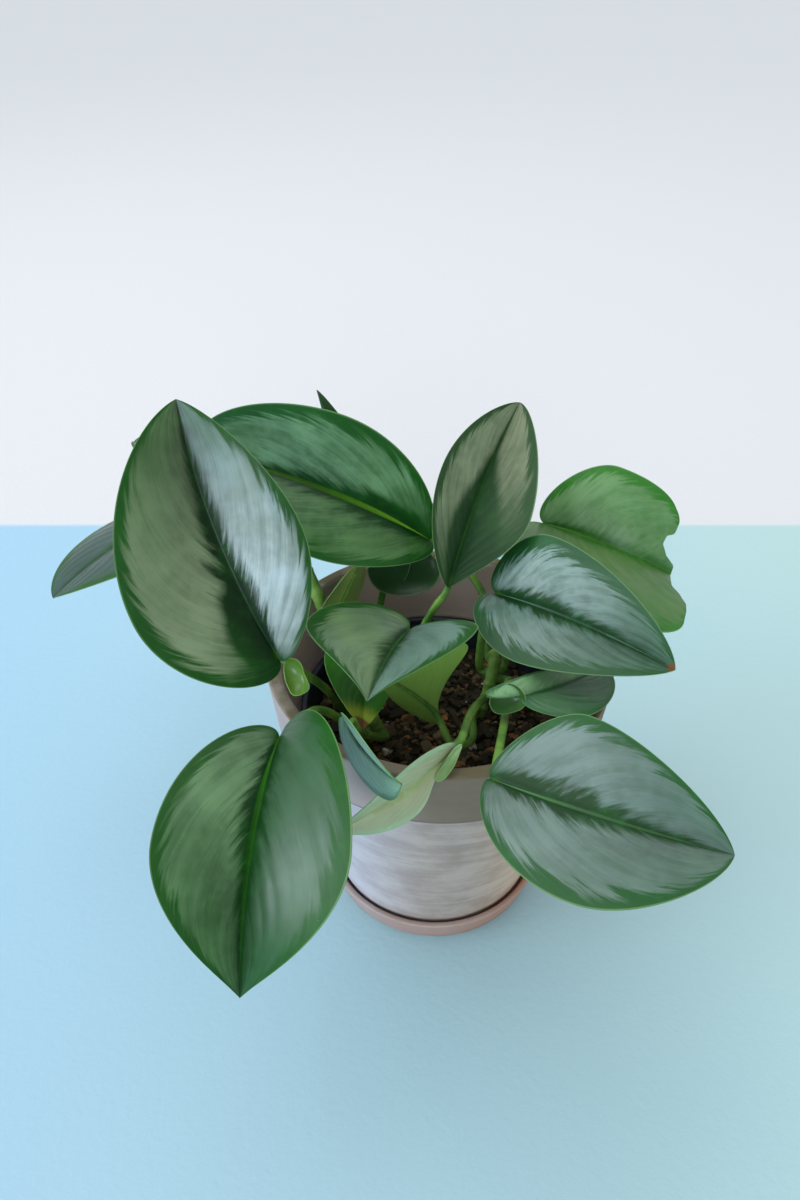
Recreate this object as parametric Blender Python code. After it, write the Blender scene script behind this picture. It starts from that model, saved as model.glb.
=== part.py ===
"""A potted scindapsus: a clay pot on its saucer, the growing pot and mix inside it, stems, and a stalk
and a blade for each leaf. Metres, +Z up. The origin is the middle of the saucer's underside, and -Y is
the front."""

import math

import bmesh
import bpy
import numpy as np

MM = 0.001
GAP = 0.3 * MM

# Clay pot and saucer
RIM_RADIUS = 70 * MM
RIM_HEIGHT = 130 * MM
COLLAR_DEPTH = 28 * MM
COLLAR_FOOT_RADIUS = 67 * MM
COLLAR_STEP = 1.6 * MM
CLAY_WALL = 5.6 * MM
CLAY_FLOOR = 8 * MM
CLAY_ROUNDING = 1.2 * MM
CLAY_FOOT_ROUNDING = 2 * MM
FOOT_RADIUS = 44.5 * MM
DRAIN_RADIUS = 9 * MM
SAUCER_RADIUS = 50.5 * MM
SAUCER_HEIGHT = 12.3 * MM
SAUCER_WALL = 2.8 * MM
SAUCER_FLOOR = 4 * MM
SAUCER_FOOT_RADIUS = 46.5 * MM
SAUCER_ROUNDING = 0.8 * MM
SAUCER_CORNER = 1.2 * MM
TURNED_SEGMENTS = 40

# Growing pot and the mix in it
NURSERY_LIP_RADIUS = 57.5 * MM
NURSERY_TOP = 101 * MM
NURSERY_FOOT_RADIUS = 37 * MM
NURSERY_WALL = 1.1 * MM
NURSERY_LIP_STEP = 1.6 * MM
NURSERY_LIP_DEPTH = 4 * MM
NURSERY_HOLES = 5
NURSERY_HOLE_RADIUS = 4 * MM
NURSERY_HOLE_RING = 0.68
SOIL_TOP = 88 * MM
SOIL_UNEVEN = 1.2 * MM
SOIL_EDGE_DROP = 3 * MM
HOLE_SEGMENTS = 12

# Stems, leaf stalks and blades
STEM_RADIUS = 2.9 * MM
STEM_ROOTED = 12 * MM
SOCKET_ROOM = 1 * MM
STALK_RADIUS = 1.9 * MM
STALK_END_RADIUS = 1.5 * MM
STALK_POINTS = 11
TUBE_RESOLUTION = 2
BLADE_THICKNESS = 0.9 * MM
STALK_BELOW = 2.9 * MM
BLADE_ROWS = 13
BLADE_COLUMNS = 3
BLADE_CURL = -20
BLADE_WELD = 0.01 * MM
VEIN_SPACING = 1.15
LOBE_PART = 0.45
SHOULDER = 0.45
TIP_WIDTH = 0.42
TIP_LENGTH = 0.06

# Each stem's centre line, in mm, from the soil up. It is rooted straight down below its first point.
STEMS = {
    "stem_right": [(19, 4, 88), (23, 9, 102), (25, 16, 116)],
    "stem_front": [(-22, -10, 88), (-25, -14, 98), (-27, -17, 108)],
    "stem_centre": [(-8, 8, 88), (-8, 10, 98), (-9, 11, 107)],
    "stem_back": [(-14, 30, 88), (-16, 33, 98), (-18, 36, 108)],
    "stem_trailing": [(-40, 18, 88), (-46, 26, 114), (-53, 34, 137), (-63, 48, 145), (-80, 74, 134)],
}

# Each leaf, in mm and degrees. base: where the stalk meets the blade; heading, rise and roll: which way
# the midrib points there, and the right half's tilt down; droop, sway and twist: how far the blade turns
# down, right and about its midrib from base to tip; right and left: half widths; wide: how far along the
# widest place is; lobe: depth of the lobe behind the base; fold: how far each half is raised.
# way: points that the stalk passes through from its stem to the base.
LEAVES = {
    "left_tall": dict(
        base=(-59, -33, 152), heading=158, rise=60, roll=-37, droop=10, sway=23, twist=-7,
        length=99, right=29, left=39, wide=(0.43, 0.37), lobe=(6, 12), fold=(24, 23),
        way=[(-31, -14, 97), (-38, -13, 106), (-44, -19, 124), (-50, -29, 141)],
    ),
    "back_broad": dict(
        base=(-3, 44, 153), heading=177, rise=34, roll=-59, droop=56, sway=-26, twist=-17,
        length=119, right=39, left=29, wide=(0.41, 0.38), lobe=(2, 13), fold=(44, 26),
        way=[(23, 24, 106), (23, 38, 122), (13, 48, 136), (2, 45, 149)],
    ),
    "back_upright": dict(
        base=(4, 17, 148), heading=71, rise=37, roll=1, droop=5, sway=11, twist=-4,
        length=89, right=32, left=19, wide=(0.34, 0.53), lobe=(-1, 2), fold=(40, 41),
        way=[(-5, 14, 96), (-8, 17, 118), (-2, 16, 137)],
    ),
    "right_torn": dict(
        base=(47, 58, 153), heading=-38, rise=6, roll=25, droop=78, sway=-27, twist=2,
        length=85, right=47, left=33, wide=(0.33, 0.29), lobe=(18, 10), fold=(35, 33),
        shoulder=0.6, tip_width=0.6,
        way=[(30, 18, 104), (30, 36, 122), (33, 58, 140), (41, 62, 148)],
    ),
    "right_silver": dict(
        base=(23, 16, 146), heading=-48, rise=17, roll=32, droop=26, sway=4, twist=1,
        length=82, right=28, left=28, wide=(0.37, 0.24), lobe=(14, 9), fold=(27, 39),
        shoulder=0.35,
        way=[(19, 14, 106), (18, 12, 120), (20, 14, 136)],
    ),
    "front_right": dict(
        base=(14, -78, 140), heading=-40, rise=13, roll=14, droop=25, sway=-24, twist=-7,
        length=80, right=35, left=34, wide=(0.52, 0.28), lobe=(3, 6), fold=(20, 16),
        shoulder=0.38,
        way=[(31, 9, 104), (28, -8, 118), (25, -30, 126), (19, -60, 134)],
    ),
    "front_left": dict(
        base=(-58, -58, 139), heading=-102, rise=-3, roll=8, droop=64, sway=-4, twist=-14,
        length=90, right=32, left=42, wide=(0.48, 0.46), lobe=(9, 22), fold=(39, 38),
        shoulder=0.38, tip_width=0.26, tip_length=0.16,
        way=[(-28, -20, 98), (-37, -32, 120), (-47, -42, 136)],
    ),
    "centre_folded": dict(
        base=(-12, -1, 141), heading=-109, rise=22, roll=4, droop=24, sway=-4, twist=-4,
        length=55, right=33, left=32, wide=(0.52, 0.25), lobe=(23, 2), fold=(29, 28),
        shoulder=0.5, tip_width=0.3, tip_length=0.18,
        way=[(-1, 9, 98), (0, 10, 112), (-6, 9, 128)],
    ),
    "right_small": dict(
        base=(31, -38, 140), heading=26, rise=-8, roll=15, droop=10, sway=-20, twist=-13,
        length=41, right=19, left=8, wide=(0.36, 0.2), lobe=(12, 37), fold=(24, 18),
        way=[(31, 6, 97), (38, -10, 112), (35, -28, 131)],
    ),
    "far_left": dict(
        base=(-109, 78, 149), heading=214, rise=-1, roll=19, droop=26, sway=-6, twist=-4,
        length=76, right=33, left=37, wide=(0.4, 0.41), lobe=(16, 16), fold=(10, 7),
        way=[(-86, 77, 137), (-93, 73, 138), (-102, 74, 143)],
    ),
    "front_narrow": dict(
        base=(-35, -58, 147), heading=-68, rise=3, roll=88, droop=14, sway=-12, twist=12,
        length=40, right=11, left=11, wide=(0.39, 0.37), lobe=(10, 4), fold=(20, 23),
        shoulder=0.6, tip_width=0.6, tip_length=0.04,
        way=[(-22, -19, 98), (-28, -37, 118), (-31, -52, 136)],
    ),
    "young_pale": dict(
        base=(3, -62, 136), heading=-133, rise=-12, roll=-57, droop=37, sway=2, twist=-29,
        length=50, right=12, left=10, wide=(0.41, 0.56), lobe=(6, -17), fold=(31, 24),
        way=[(23, 0, 98), (19, -10, 112), (11, -34, 126), (6, -55, 134)],
    ),
    "inner_cupped": dict(
        base=(0, -19, 112), heading=178, rise=51, roll=89, droop=18, sway=8, twist=-11,
        length=36, right=12, left=28, wide=(0.33, 0.36), lobe=(16, -10), fold=(20, 37),
        way=[(15, 0, 95), (14, -19, 97), (5, -29, 104)],
    ),
    "inner_spotted": dict(
        base=(-26, 19, 112), heading=-100, rise=11, roll=-11, droop=5, sway=-13, twist=-5,
        length=54, right=21, left=11, wide=(0.38, 0.37), lobe=(16, 16), fold=(28, 24),
        way=[(-14, 14, 96), (-19, 19, 102), (-24, 21, 107)],
    ),
    "back_small": dict(
        base=(-44, 25, 128), heading=40, rise=56, roll=-70, droop=2, sway=11, twist=15,
        length=22, right=13, left=15, wide=(0.32, 0.3), lobe=(16, 13), fold=(12, 3),
        way=[(-21, 31, 98), (-30, 31, 108), (-38, 24, 120)],
    ),
    "back_tall": dict(
        base=(-19, 45, 133), heading=122, rise=50, roll=94, droop=8, sway=-6, twist=2,
        length=87, right=16, left=18, wide=(0.24, 0.26), lobe=(6, 12), fold=(1, 33),
        shoulder=0.12, tip_width=0.2,
        way=[(-21, 38, 98), (-25, 41, 110), (-24, 42, 123)],
    ),
    "far_back": dict(
        base=(-95, 128, 130), heading=153, rise=18, roll=0, droop=22, sway=0, twist=0,
        length=72, right=26, left=26, wide=(0.38, 0.38), lobe=(14, 14), fold=(25, 25),
        way=[(-83, 86, 132), (-87, 104, 127), (-92, 120, 123)],
    ),
}

# The torn end of one blade: how far along each half's outline it starts, and the tear's own line as
# (part of the half width, mm along the blade).
TORN_LEAF = "right_torn"
TORN_FROM = (0.84, 0.76)
TEAR_RIGHT = [(0, 63), (0.12, 61), (0.45, 59), (0.62, 62), (0.85, 64), (1, 61)]
TEAR_LEFT = [(0, 63), (0.15, 62), (0.27, 56), (0.44, 52), (0.62, 52), (0.72, 55), (0.96, 55), (1, 53)]


def principled(name, color, roughness):
    """A material of one colour and roughness."""
    material = bpy.data.materials.new(name)
    material.use_nodes = True
    shader = material.node_tree.nodes["Principled BSDF"]
    shader.inputs["Base Color"].default_value = (*color, 1)
    shader.inputs["Roughness"].default_value = roughness
    return material


def add_object(name, data, material):
    """An object with this mesh or curve and material, linked to the scene."""
    piece = bpy.data.objects.new(name, data)
    piece.data.materials.append(material)
    bpy.context.scene.collection.objects.link(piece)
    return piece


def mesh_of(name, points, faces):
    """A smooth-shaded mesh with outward faces."""
    mesh = bpy.data.meshes.new(name)
    mesh.from_pydata([tuple(point) for point in points], [], faces)
    body = bmesh.new()
    body.from_mesh(mesh)
    bmesh.ops.recalc_face_normals(body, faces=body.faces)
    body.to_mesh(mesh)
    body.free()
    mesh.shade_smooth()
    mesh.set_sharp_from_angle(angle=math.radians(35))
    return mesh


def turned(name, profile, material):
    """A closed ring or cup: a closed (radius, height) profile spun about the Z axis. A point on the axis
    closes the shape there."""
    angles = np.arange(TURNED_SEGMENTS) * 2 * math.pi / TURNED_SEGMENTS
    points = []
    rings = []
    for radius, height in profile:
        if radius == 0:
            rings.append([len(points)] * TURNED_SEGMENTS)
            points.append((0, 0, height))
            continue
        rings.append(list(range(len(points), len(points) + TURNED_SEGMENTS)))
        points += [(radius * math.cos(a), radius * math.sin(a), height) for a in angles]
    faces = []
    for ring, above in zip(rings, rings[1:] + rings[:1]):
        for i in range(TURNED_SEGMENTS):
            j = (i + 1) % TURNED_SEGMENTS
            corners = list(dict.fromkeys([ring[i], ring[j], above[j], above[i]]))
            if len(corners) > 2:
                faces.append(corners)
    return add_object(name, mesh_of(name, points, faces), material)


def cut_round_holes(piece, centres, radius, low, high):
    """Upright round holes through a piece, from height low to height high."""
    for index, (x, y) in enumerate(centres):
        body = bmesh.new()
        bmesh.ops.create_cone(
            body, cap_ends=True, segments=HOLE_SEGMENTS, radius1=radius, radius2=radius, depth=high - low
        )
        bmesh.ops.translate(body, verts=body.verts, vec=(x, y, (low + high) / 2))
        mesh = bpy.data.meshes.new(f"{piece.name}_hole_{index}")
        body.to_mesh(mesh)
        body.free()
        cutter = add_object(mesh.name, mesh, piece.data.materials[0])
        cutter.hide_render = True
        cutter.display_type = "WIRE"
        hole = piece.modifiers.new("Hole", "BOOLEAN")
        hole.operation = "DIFFERENCE"
        hole.object = cutter


def through(points, count):
    """count points on the smooth curve (Catmull-Rom) that passes through these points."""
    points = np.array(points, float)
    padded = np.vstack([2 * points[0] - points[1], points, 2 * points[-1] - points[-2]])
    spans = len(points) - 1
    where = np.linspace(0, spans, count)
    index = np.minimum(where.astype(int), spans - 1)
    t = (where - index)[:, None]
    a, b, c, d = (padded[index + k] for k in range(4))
    square = 2 * a - 5 * b + 4 * c - d
    cube = 3 * b - 3 * c + d - a
    return 0.5 * (2 * b + (c - a) * t + square * t**2 + cube * t**3)


def tube(name, path, radii, material):
    """A round tube along these points, with closed ends."""
    curve = bpy.data.curves.new(name, "CURVE")
    curve.dimensions = "3D"
    curve.bevel_depth = 1
    curve.bevel_resolution = TUBE_RESOLUTION
    curve.use_fill_caps = True
    spline = curve.splines.new("POLY")
    spline.points.add(len(path) - 1)
    for point, place, radius in zip(spline.points, path, radii):
        point.co = (*place, 1)
        point.radius = radius
    return add_object(name, curve, material)


def bezier(points, t):
    """Points on the cubic curve with these four control points."""
    a, b, c, d = (np.array(point, float) for point in points)
    t = t[:, None]
    return (1 - t) ** 3 * a + 3 * (1 - t) ** 2 * t * b + 3 * (1 - t) * t**2 * c + t**3 * d


def half_outline(leaf, side, t):
    """One half of the flat blade's edge, as (distance from the midrib, distance along it): from the base
    round the lobe to the widest place, then to the tip."""
    width = leaf["right" if side > 0 else "left"]
    lobe = leaf["lobe"][0 if side > 0 else 1]
    length = leaf["length"]
    widest = leaf["wide"][0 if side > 0 else 1] * length
    shoulder = leaf.get("shoulder", SHOULDER)
    tip_width = leaf.get("tip_width", TIP_WIDTH)
    tip_length = leaf.get("tip_length", TIP_LENGTH)
    round_lobe = [(0, 0), (0.12 * width, -lobe), (width, 0.4 * widest - 0.24 * lobe), (width, widest)]
    to_tip = [
        (width, widest),
        (width, widest + shoulder * (length - widest)),
        (tip_width * width, length * (1 - tip_length)),
        (0, length),
    ]
    first = bezier(round_lobe, np.clip(t / LOBE_PART, 0, 1))
    second = bezier(to_tip, np.clip((t - LOBE_PART) / (1 - LOBE_PART), 0, 1))
    return np.where((t < LOBE_PART)[:, None], first, second)


def flat_half(leaf, side, torn):
    """A half blade as flat rows of points from the midrib out to the edge: rows by columns by 2."""
    t = np.linspace(0, 1, BLADE_ROWS)
    rib_end = leaf["length"]
    if torn:
        t = t * TORN_FROM[0 if side > 0 else 1]
        rib_end = TEAR_RIGHT[0][1]
    edge = half_outline(leaf, side, t)
    along = np.linspace(0, 1, BLADE_ROWS) ** VEIN_SPACING
    rib = np.stack([np.zeros(BLADE_ROWS), rib_end * along], axis=1)
    out = np.linspace(0, 1, BLADE_COLUMNS + 1)[None, :, None]
    rows = rib[:, None] * (1 - out) + edge[:, None] * out
    if torn:
        tear = np.array(TEAR_RIGHT if side > 0 else TEAR_LEFT)
        line = np.interp(out[0, :, 0], tear[:, 0], tear[:, 1])
        near_tear = np.linspace(0, 1, BLADE_ROWS) ** 4
        rows[:, :, 1] += near_tear[:, None] * (line - rows[-1, :, 1])[None, :]
    return rows


def turn_matrices(vectors):
    """A turning matrix for each rotation vector."""
    angle = np.linalg.norm(vectors, axis=1) + 1e-12
    x, y, z = (vectors / angle[:, None]).T
    c = np.cos(angle)
    s = np.sin(angle)
    k = 1 - c
    rows = [
        [c + x * x * k, x * y * k - z * s, x * z * k + y * s],
        [y * x * k + z * s, c + y * y * k, y * z * k - x * s],
        [z * x * k - y * s, z * y * k + x * s, c + z * z * k],
    ]
    return np.stack([np.stack(row, axis=-1) for row in rows], axis=1)


def base_frame(leaf):
    """The unit vectors along the midrib, to the right and out of the upper face, at the blade's base."""
    heading, rise, roll = (math.radians(leaf[key]) for key in ("heading", "rise", "roll"))
    along = np.array(
        [math.cos(heading) * math.cos(rise), math.sin(heading) * math.cos(rise), math.sin(rise)]
    )
    level = np.array([math.sin(heading), -math.cos(heading), 0])
    above = np.cross(level, along)
    right = level * math.cos(roll) - above * math.sin(roll)
    return along, right, above * math.cos(roll) + level * math.sin(roll)


def bend(leaf, flat, side):
    """Carries flat points (mm) onto the drooping, folded blade, in metres."""
    along, right, above = base_frame(leaf)
    droop, sway, twist = (math.radians(leaf[key]) for key in ("droop", "sway", "twist"))
    steps = np.linspace(-0.4, 1, 57) * leaf["length"]
    vectors = (steps / leaf["length"])[:, None] * (twist * along - droop * right - sway * above)
    frames = turn_matrices(vectors) @ np.stack([along, right, above], axis=1)
    line = np.zeros((len(steps), 3))
    line[1:] = np.cumsum(np.diff(steps)[:, None] * (frames[1:, :, 0] + frames[:-1, :, 0]) / 2, axis=0)
    x, y = flat[..., 0], flat[..., 1]

    def at(values):
        return np.stack([np.interp(y, steps, values[:, axis]) for axis in range(3)], axis=-1)

    origin = np.array([np.interp(0, steps, line[:, axis]) for axis in range(3)])
    fold = math.radians(leaf["fold"][0 if side > 0 else 1])
    bow = math.radians(BLADE_CURL) / leaf["right" if side > 0 else "left"]
    across = (np.sin(fold + bow * x) - math.sin(fold)) / bow
    raised = (math.cos(fold) - np.cos(fold + bow * x)) / bow
    place = at(line) - origin + side * across[..., None] * at(frames[:, :, 1])
    place = place + raised[..., None] * at(frames[:, :, 2])
    return (place + np.array(leaf["base"])) * MM


def blade(name, leaf, material):
    """A leaf blade: two halves of a bent sheet that share the midrib, given its thickness downwards."""
    torn = name == TORN_LEAF
    right = bend(leaf, flat_half(leaf, 1, torn), 1)
    left = bend(leaf, flat_half(leaf, -1, torn), -1)
    grid = np.concatenate([left[:, :0:-1], right], axis=1)
    rows, columns = grid.shape[:2]
    corners = np.arange(rows * columns).reshape(rows, columns)
    quads = [
        (corners[i, j], corners[i, j + 1], corners[i + 1, j + 1], corners[i + 1, j])
        for i in range(rows - 1)
        for j in range(columns - 1)
    ]
    mesh = bpy.data.meshes.new(f"blade_{name}")
    mesh.from_pydata([tuple(point) for point in grid.reshape(-1, 3)], [], quads)
    body = bmesh.new()
    body.from_mesh(mesh)
    bmesh.ops.remove_doubles(body, verts=body.verts, dist=BLADE_WELD)
    bmesh.ops.dissolve_degenerate(body, edges=body.edges, dist=BLADE_WELD)
    body.to_mesh(mesh)
    body.free()
    mesh.shade_smooth()
    piece = add_object(mesh.name, mesh, material)
    thicken = piece.modifiers.new("Thickness", "SOLIDIFY")
    thicken.thickness = BLADE_THICKNESS
    thicken.offset = -1
    return piece


def stalk(name, leaf, material):
    """A leaf stalk from beside its stem to just under the blade's base."""
    above = base_frame(leaf)[2]
    end = np.array(leaf["base"]) * MM - above * STALK_BELOW
    path = through(np.vstack([np.array(leaf["way"]) * MM, end]), STALK_POINTS)
    radii = np.linspace(STALK_RADIUS, STALK_END_RADIUS, STALK_POINTS)
    return tube(f"stalk_{name}", path, radii, material)


def clay_pot(material):
    """The tapered pot: foot, body, step under the collar, flat rim, inside wall, and floor with a hole."""
    foot = SAUCER_FLOOR + GAP
    collar_foot = RIM_HEIGHT - COLLAR_DEPTH
    body_top = COLLAR_FOOT_RADIUS - COLLAR_STEP
    profile = [
        (DRAIN_RADIUS, foot),
        (FOOT_RADIUS - CLAY_FOOT_ROUNDING, foot),
        (FOOT_RADIUS, foot + CLAY_FOOT_ROUNDING),
        (body_top, collar_foot),
        (COLLAR_FOOT_RADIUS, collar_foot + CLAY_ROUNDING / 2),
        (RIM_RADIUS, RIM_HEIGHT - CLAY_ROUNDING),
        (RIM_RADIUS - CLAY_ROUNDING, RIM_HEIGHT),
        (RIM_RADIUS - CLAY_WALL + CLAY_ROUNDING, RIM_HEIGHT),
        (RIM_RADIUS - CLAY_WALL, RIM_HEIGHT - CLAY_ROUNDING),
        (body_top - CLAY_WALL, collar_foot),
        (FOOT_RADIUS - CLAY_WALL + CLAY_ROUNDING, foot + CLAY_FLOOR + CLAY_FOOT_ROUNDING),
        (FOOT_RADIUS - CLAY_WALL, foot + CLAY_FLOOR),
        (DRAIN_RADIUS, foot + CLAY_FLOOR),
    ]
    return turned("terracotta_pot", profile, material)


def saucer(material):
    """The shallow dish under the pot, with a thin upright wall."""
    inner = SAUCER_RADIUS - SAUCER_WALL
    profile = [
        (0, 0),
        (SAUCER_FOOT_RADIUS, 0),
        (SAUCER_FOOT_RADIUS + SAUCER_CORNER, SAUCER_CORNER),
        (SAUCER_RADIUS, SAUCER_HEIGHT - SAUCER_ROUNDING),
        (SAUCER_RADIUS - SAUCER_ROUNDING, SAUCER_HEIGHT),
        (inner + SAUCER_ROUNDING, SAUCER_HEIGHT),
        (inner, SAUCER_HEIGHT - SAUCER_ROUNDING),
        (inner - SAUCER_CORNER, SAUCER_FLOOR),
        (0, SAUCER_FLOOR),
    ]
    return turned("saucer", profile, material)


def nursery_foot():
    return SAUCER_FLOOR + GAP + CLAY_FLOOR + GAP


def nursery_inside(height):
    """Inner radius of the growing pot at this height."""
    floor_top = nursery_foot() + NURSERY_WALL
    part = (height - floor_top) / (NURSERY_TOP - floor_top)
    top = NURSERY_LIP_RADIUS - NURSERY_LIP_STEP - NURSERY_WALL
    return NURSERY_FOOT_RADIUS - NURSERY_WALL + part * (top - NURSERY_FOOT_RADIUS + NURSERY_WALL)


def nursery_pot(material):
    """The thin plastic growing pot: tapered wall, rolled lip, floor with drain holes."""
    foot = nursery_foot()
    lip = NURSERY_LIP_RADIUS
    wall_top = lip - NURSERY_LIP_STEP
    profile = [
        (0, foot),
        (NURSERY_FOOT_RADIUS, foot),
        (wall_top, NURSERY_TOP - NURSERY_LIP_DEPTH),
        (lip, NURSERY_TOP - NURSERY_LIP_DEPTH),
        (lip, NURSERY_TOP),
        (wall_top - NURSERY_WALL, NURSERY_TOP),
        (NURSERY_FOOT_RADIUS - NURSERY_WALL, foot + NURSERY_WALL),
        (0, foot + NURSERY_WALL),
    ]
    piece = turned("nursery_pot", profile, material)
    ring = NURSERY_FOOT_RADIUS * NURSERY_HOLE_RING
    turn = 2 * math.pi / NURSERY_HOLES
    centres = [(ring * math.cos(i * turn), ring * math.sin(i * turn)) for i in range(NURSERY_HOLES)]
    cut_round_holes(piece, centres, NURSERY_HOLE_RADIUS, foot - MM, foot + NURSERY_WALL + MM)
    return piece


def potting_mix(material):
    """The plug of mix, with an uneven top, and a socket for each stem."""
    foot = nursery_foot() + NURSERY_WALL + GAP
    shoulder = SOIL_TOP - SOIL_EDGE_DROP
    edge = nursery_inside(shoulder) - GAP
    angles = np.arange(TURNED_SEGMENTS) * 2 * math.pi / TURNED_SEGMENTS
    rings = [(nursery_inside(foot) - GAP, foot, 0), (edge, shoulder, 0)]
    rings += [(edge * part, SOIL_TOP, SOIL_UNEVEN * part) for part in (0.7, 0.35)]
    points = [(0, 0, foot), (0, 0, SOIL_TOP)]
    loops = []
    for radius, height, uneven in rings:
        loops.append([len(points) + i for i in range(TURNED_SEGMENTS)])
        points += [
            (radius * math.cos(a), radius * math.sin(a), height + uneven * math.sin(3 * a + 1))
            for a in angles
        ]
    faces = []
    for i in range(TURNED_SEGMENTS):
        j = (i + 1) % TURNED_SEGMENTS
        faces.append((0, loops[0][j], loops[0][i]))
        faces.append((1, loops[-1][i], loops[-1][j]))
        faces += [(low[i], low[j], high[j], high[i]) for low, high in zip(loops, loops[1:])]
    piece = add_object("potting_mix", mesh_of("potting_mix", points, faces), material)
    centres = [(line[0][0] * MM, line[0][1] * MM) for line in STEMS.values()]
    low = SOIL_TOP - STEM_ROOTED - GAP
    cut_round_holes(piece, centres, STEM_RADIUS + SOCKET_ROOM, low, SOIL_TOP + 2 * SOIL_EDGE_DROP)
    return piece


def stem(name, line, material):
    """A stem: rooted straight down in the mix, then along its centre line."""
    upper = through(np.array(line) * MM, 3 * len(line) - 1)
    rooted = upper[0] - (0, 0, STEM_ROOTED)
    path = np.vstack([rooted, upper])
    return tube(name, path, [STEM_RADIUS] * len(path), material)


for existing in list(bpy.data.objects):
    bpy.data.objects.remove(existing, do_unlink=True)

clay = principled("clay", (0.42, 0.33, 0.29), 0.85)
saucer_clay = principled("saucer_clay", (0.42, 0.24, 0.18), 0.85)
plastic = principled("black_plastic", (0.012, 0.013, 0.018), 0.4)
mix = principled("bark_mix", (0.03, 0.018, 0.012), 0.95)
green_stem = principled("stem_green", (0.16, 0.26, 0.05), 0.45)
leaf_green = principled("leaf_green", (0.07, 0.16, 0.07), 0.35)
young_green = principled("young_leaf_green", (0.35, 0.48, 0.25), 0.45)

clay_pot(clay)
saucer(saucer_clay)
nursery_pot(plastic)
potting_mix(mix)
for stem_name, centre_line in STEMS.items():
    stem(stem_name, centre_line, green_stem)
for leaf_name, leaf_sizes in LEAVES.items():
    stalk(leaf_name, leaf_sizes, green_stem)
    blade(leaf_name, leaf_sizes, young_green if leaf_name == "young_pale" else leaf_green)
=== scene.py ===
"""A potted scindapsus on a pale floor: the looks of each piece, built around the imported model."""

import math
from types import SimpleNamespace

import bmesh
import bpy
import numpy as np
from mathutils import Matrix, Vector


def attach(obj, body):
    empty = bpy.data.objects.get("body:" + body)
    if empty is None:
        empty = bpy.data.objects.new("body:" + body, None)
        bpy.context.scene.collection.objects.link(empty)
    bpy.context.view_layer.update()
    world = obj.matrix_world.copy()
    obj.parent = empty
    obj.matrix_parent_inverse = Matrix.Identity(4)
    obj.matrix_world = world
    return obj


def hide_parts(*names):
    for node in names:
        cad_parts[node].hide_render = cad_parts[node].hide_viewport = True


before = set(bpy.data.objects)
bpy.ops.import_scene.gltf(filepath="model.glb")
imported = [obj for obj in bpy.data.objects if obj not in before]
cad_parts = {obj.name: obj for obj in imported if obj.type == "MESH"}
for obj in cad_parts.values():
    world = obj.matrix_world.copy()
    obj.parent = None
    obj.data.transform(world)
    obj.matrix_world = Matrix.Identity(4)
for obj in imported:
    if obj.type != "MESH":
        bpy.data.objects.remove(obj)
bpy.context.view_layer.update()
MM = 0.001

# ---------------------------------------------------------------------------------------------------
# Clay pot. Thrown and pressed terracotta, unglazed, with a thick collar, a flat rim and a drain hole.
# A thin chalky wash has dried on it in level brushed streaks. It stands loose in its saucer.
# ---------------------------------------------------------------------------------------------------

POT_RIM_RADIUS = 70 * MM
POT_HEIGHT = 130 * MM
POT_FOOT_HEIGHT = 4.3 * MM
COLLAR_BOTTOM = 102 * MM
COLLAR_FOOT_RADIUS = 67 * MM
COLLAR_STEP = 1.1 * MM
POT_WALL = 5.6 * MM
POT_FOOT_RADIUS = 44.5 * MM
POT_FLOOR_TOP = 12.3 * MM
POT_EDGE_ROUND = 1.5 * MM
POT_UNEVEN = 0.12 * MM
DRAIN_RADIUS = 9 * MM
SPIN_SEGMENTS = 192
OUTLINE_SPACING = 3 * MM
EDGE_HOLD = 0.3 * MM
ARC_POINTS = 5
SPUN_SMOOTH = 80
FINE_PITS = 1500


class Field:
    """A value at every point of a surface, held as a node's output, so that shader maths reads as
    Python. It takes + - * with numbers or other fields on either side, and ** with them after it."""

    def __init__(self, finish, socket):
        self.finish = finish
        self.socket = socket

    def math(self, operation, first, second=0):
        return self.finish.node("ShaderNodeMath", {"operation": operation}, {0: first, 1: second})

    def __add__(self, other):
        return self.math("ADD", self, other)

    def __sub__(self, other):
        return self.math("SUBTRACT", self, other)

    def __rsub__(self, other):
        return self.math("SUBTRACT", other, self)

    def __mul__(self, other):
        return self.math("MULTIPLY", self, other)

    def __pow__(self, other):
        return self.math("POWER", self, other)

    __radd__ = __add__
    __rmul__ = __mul__


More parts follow.
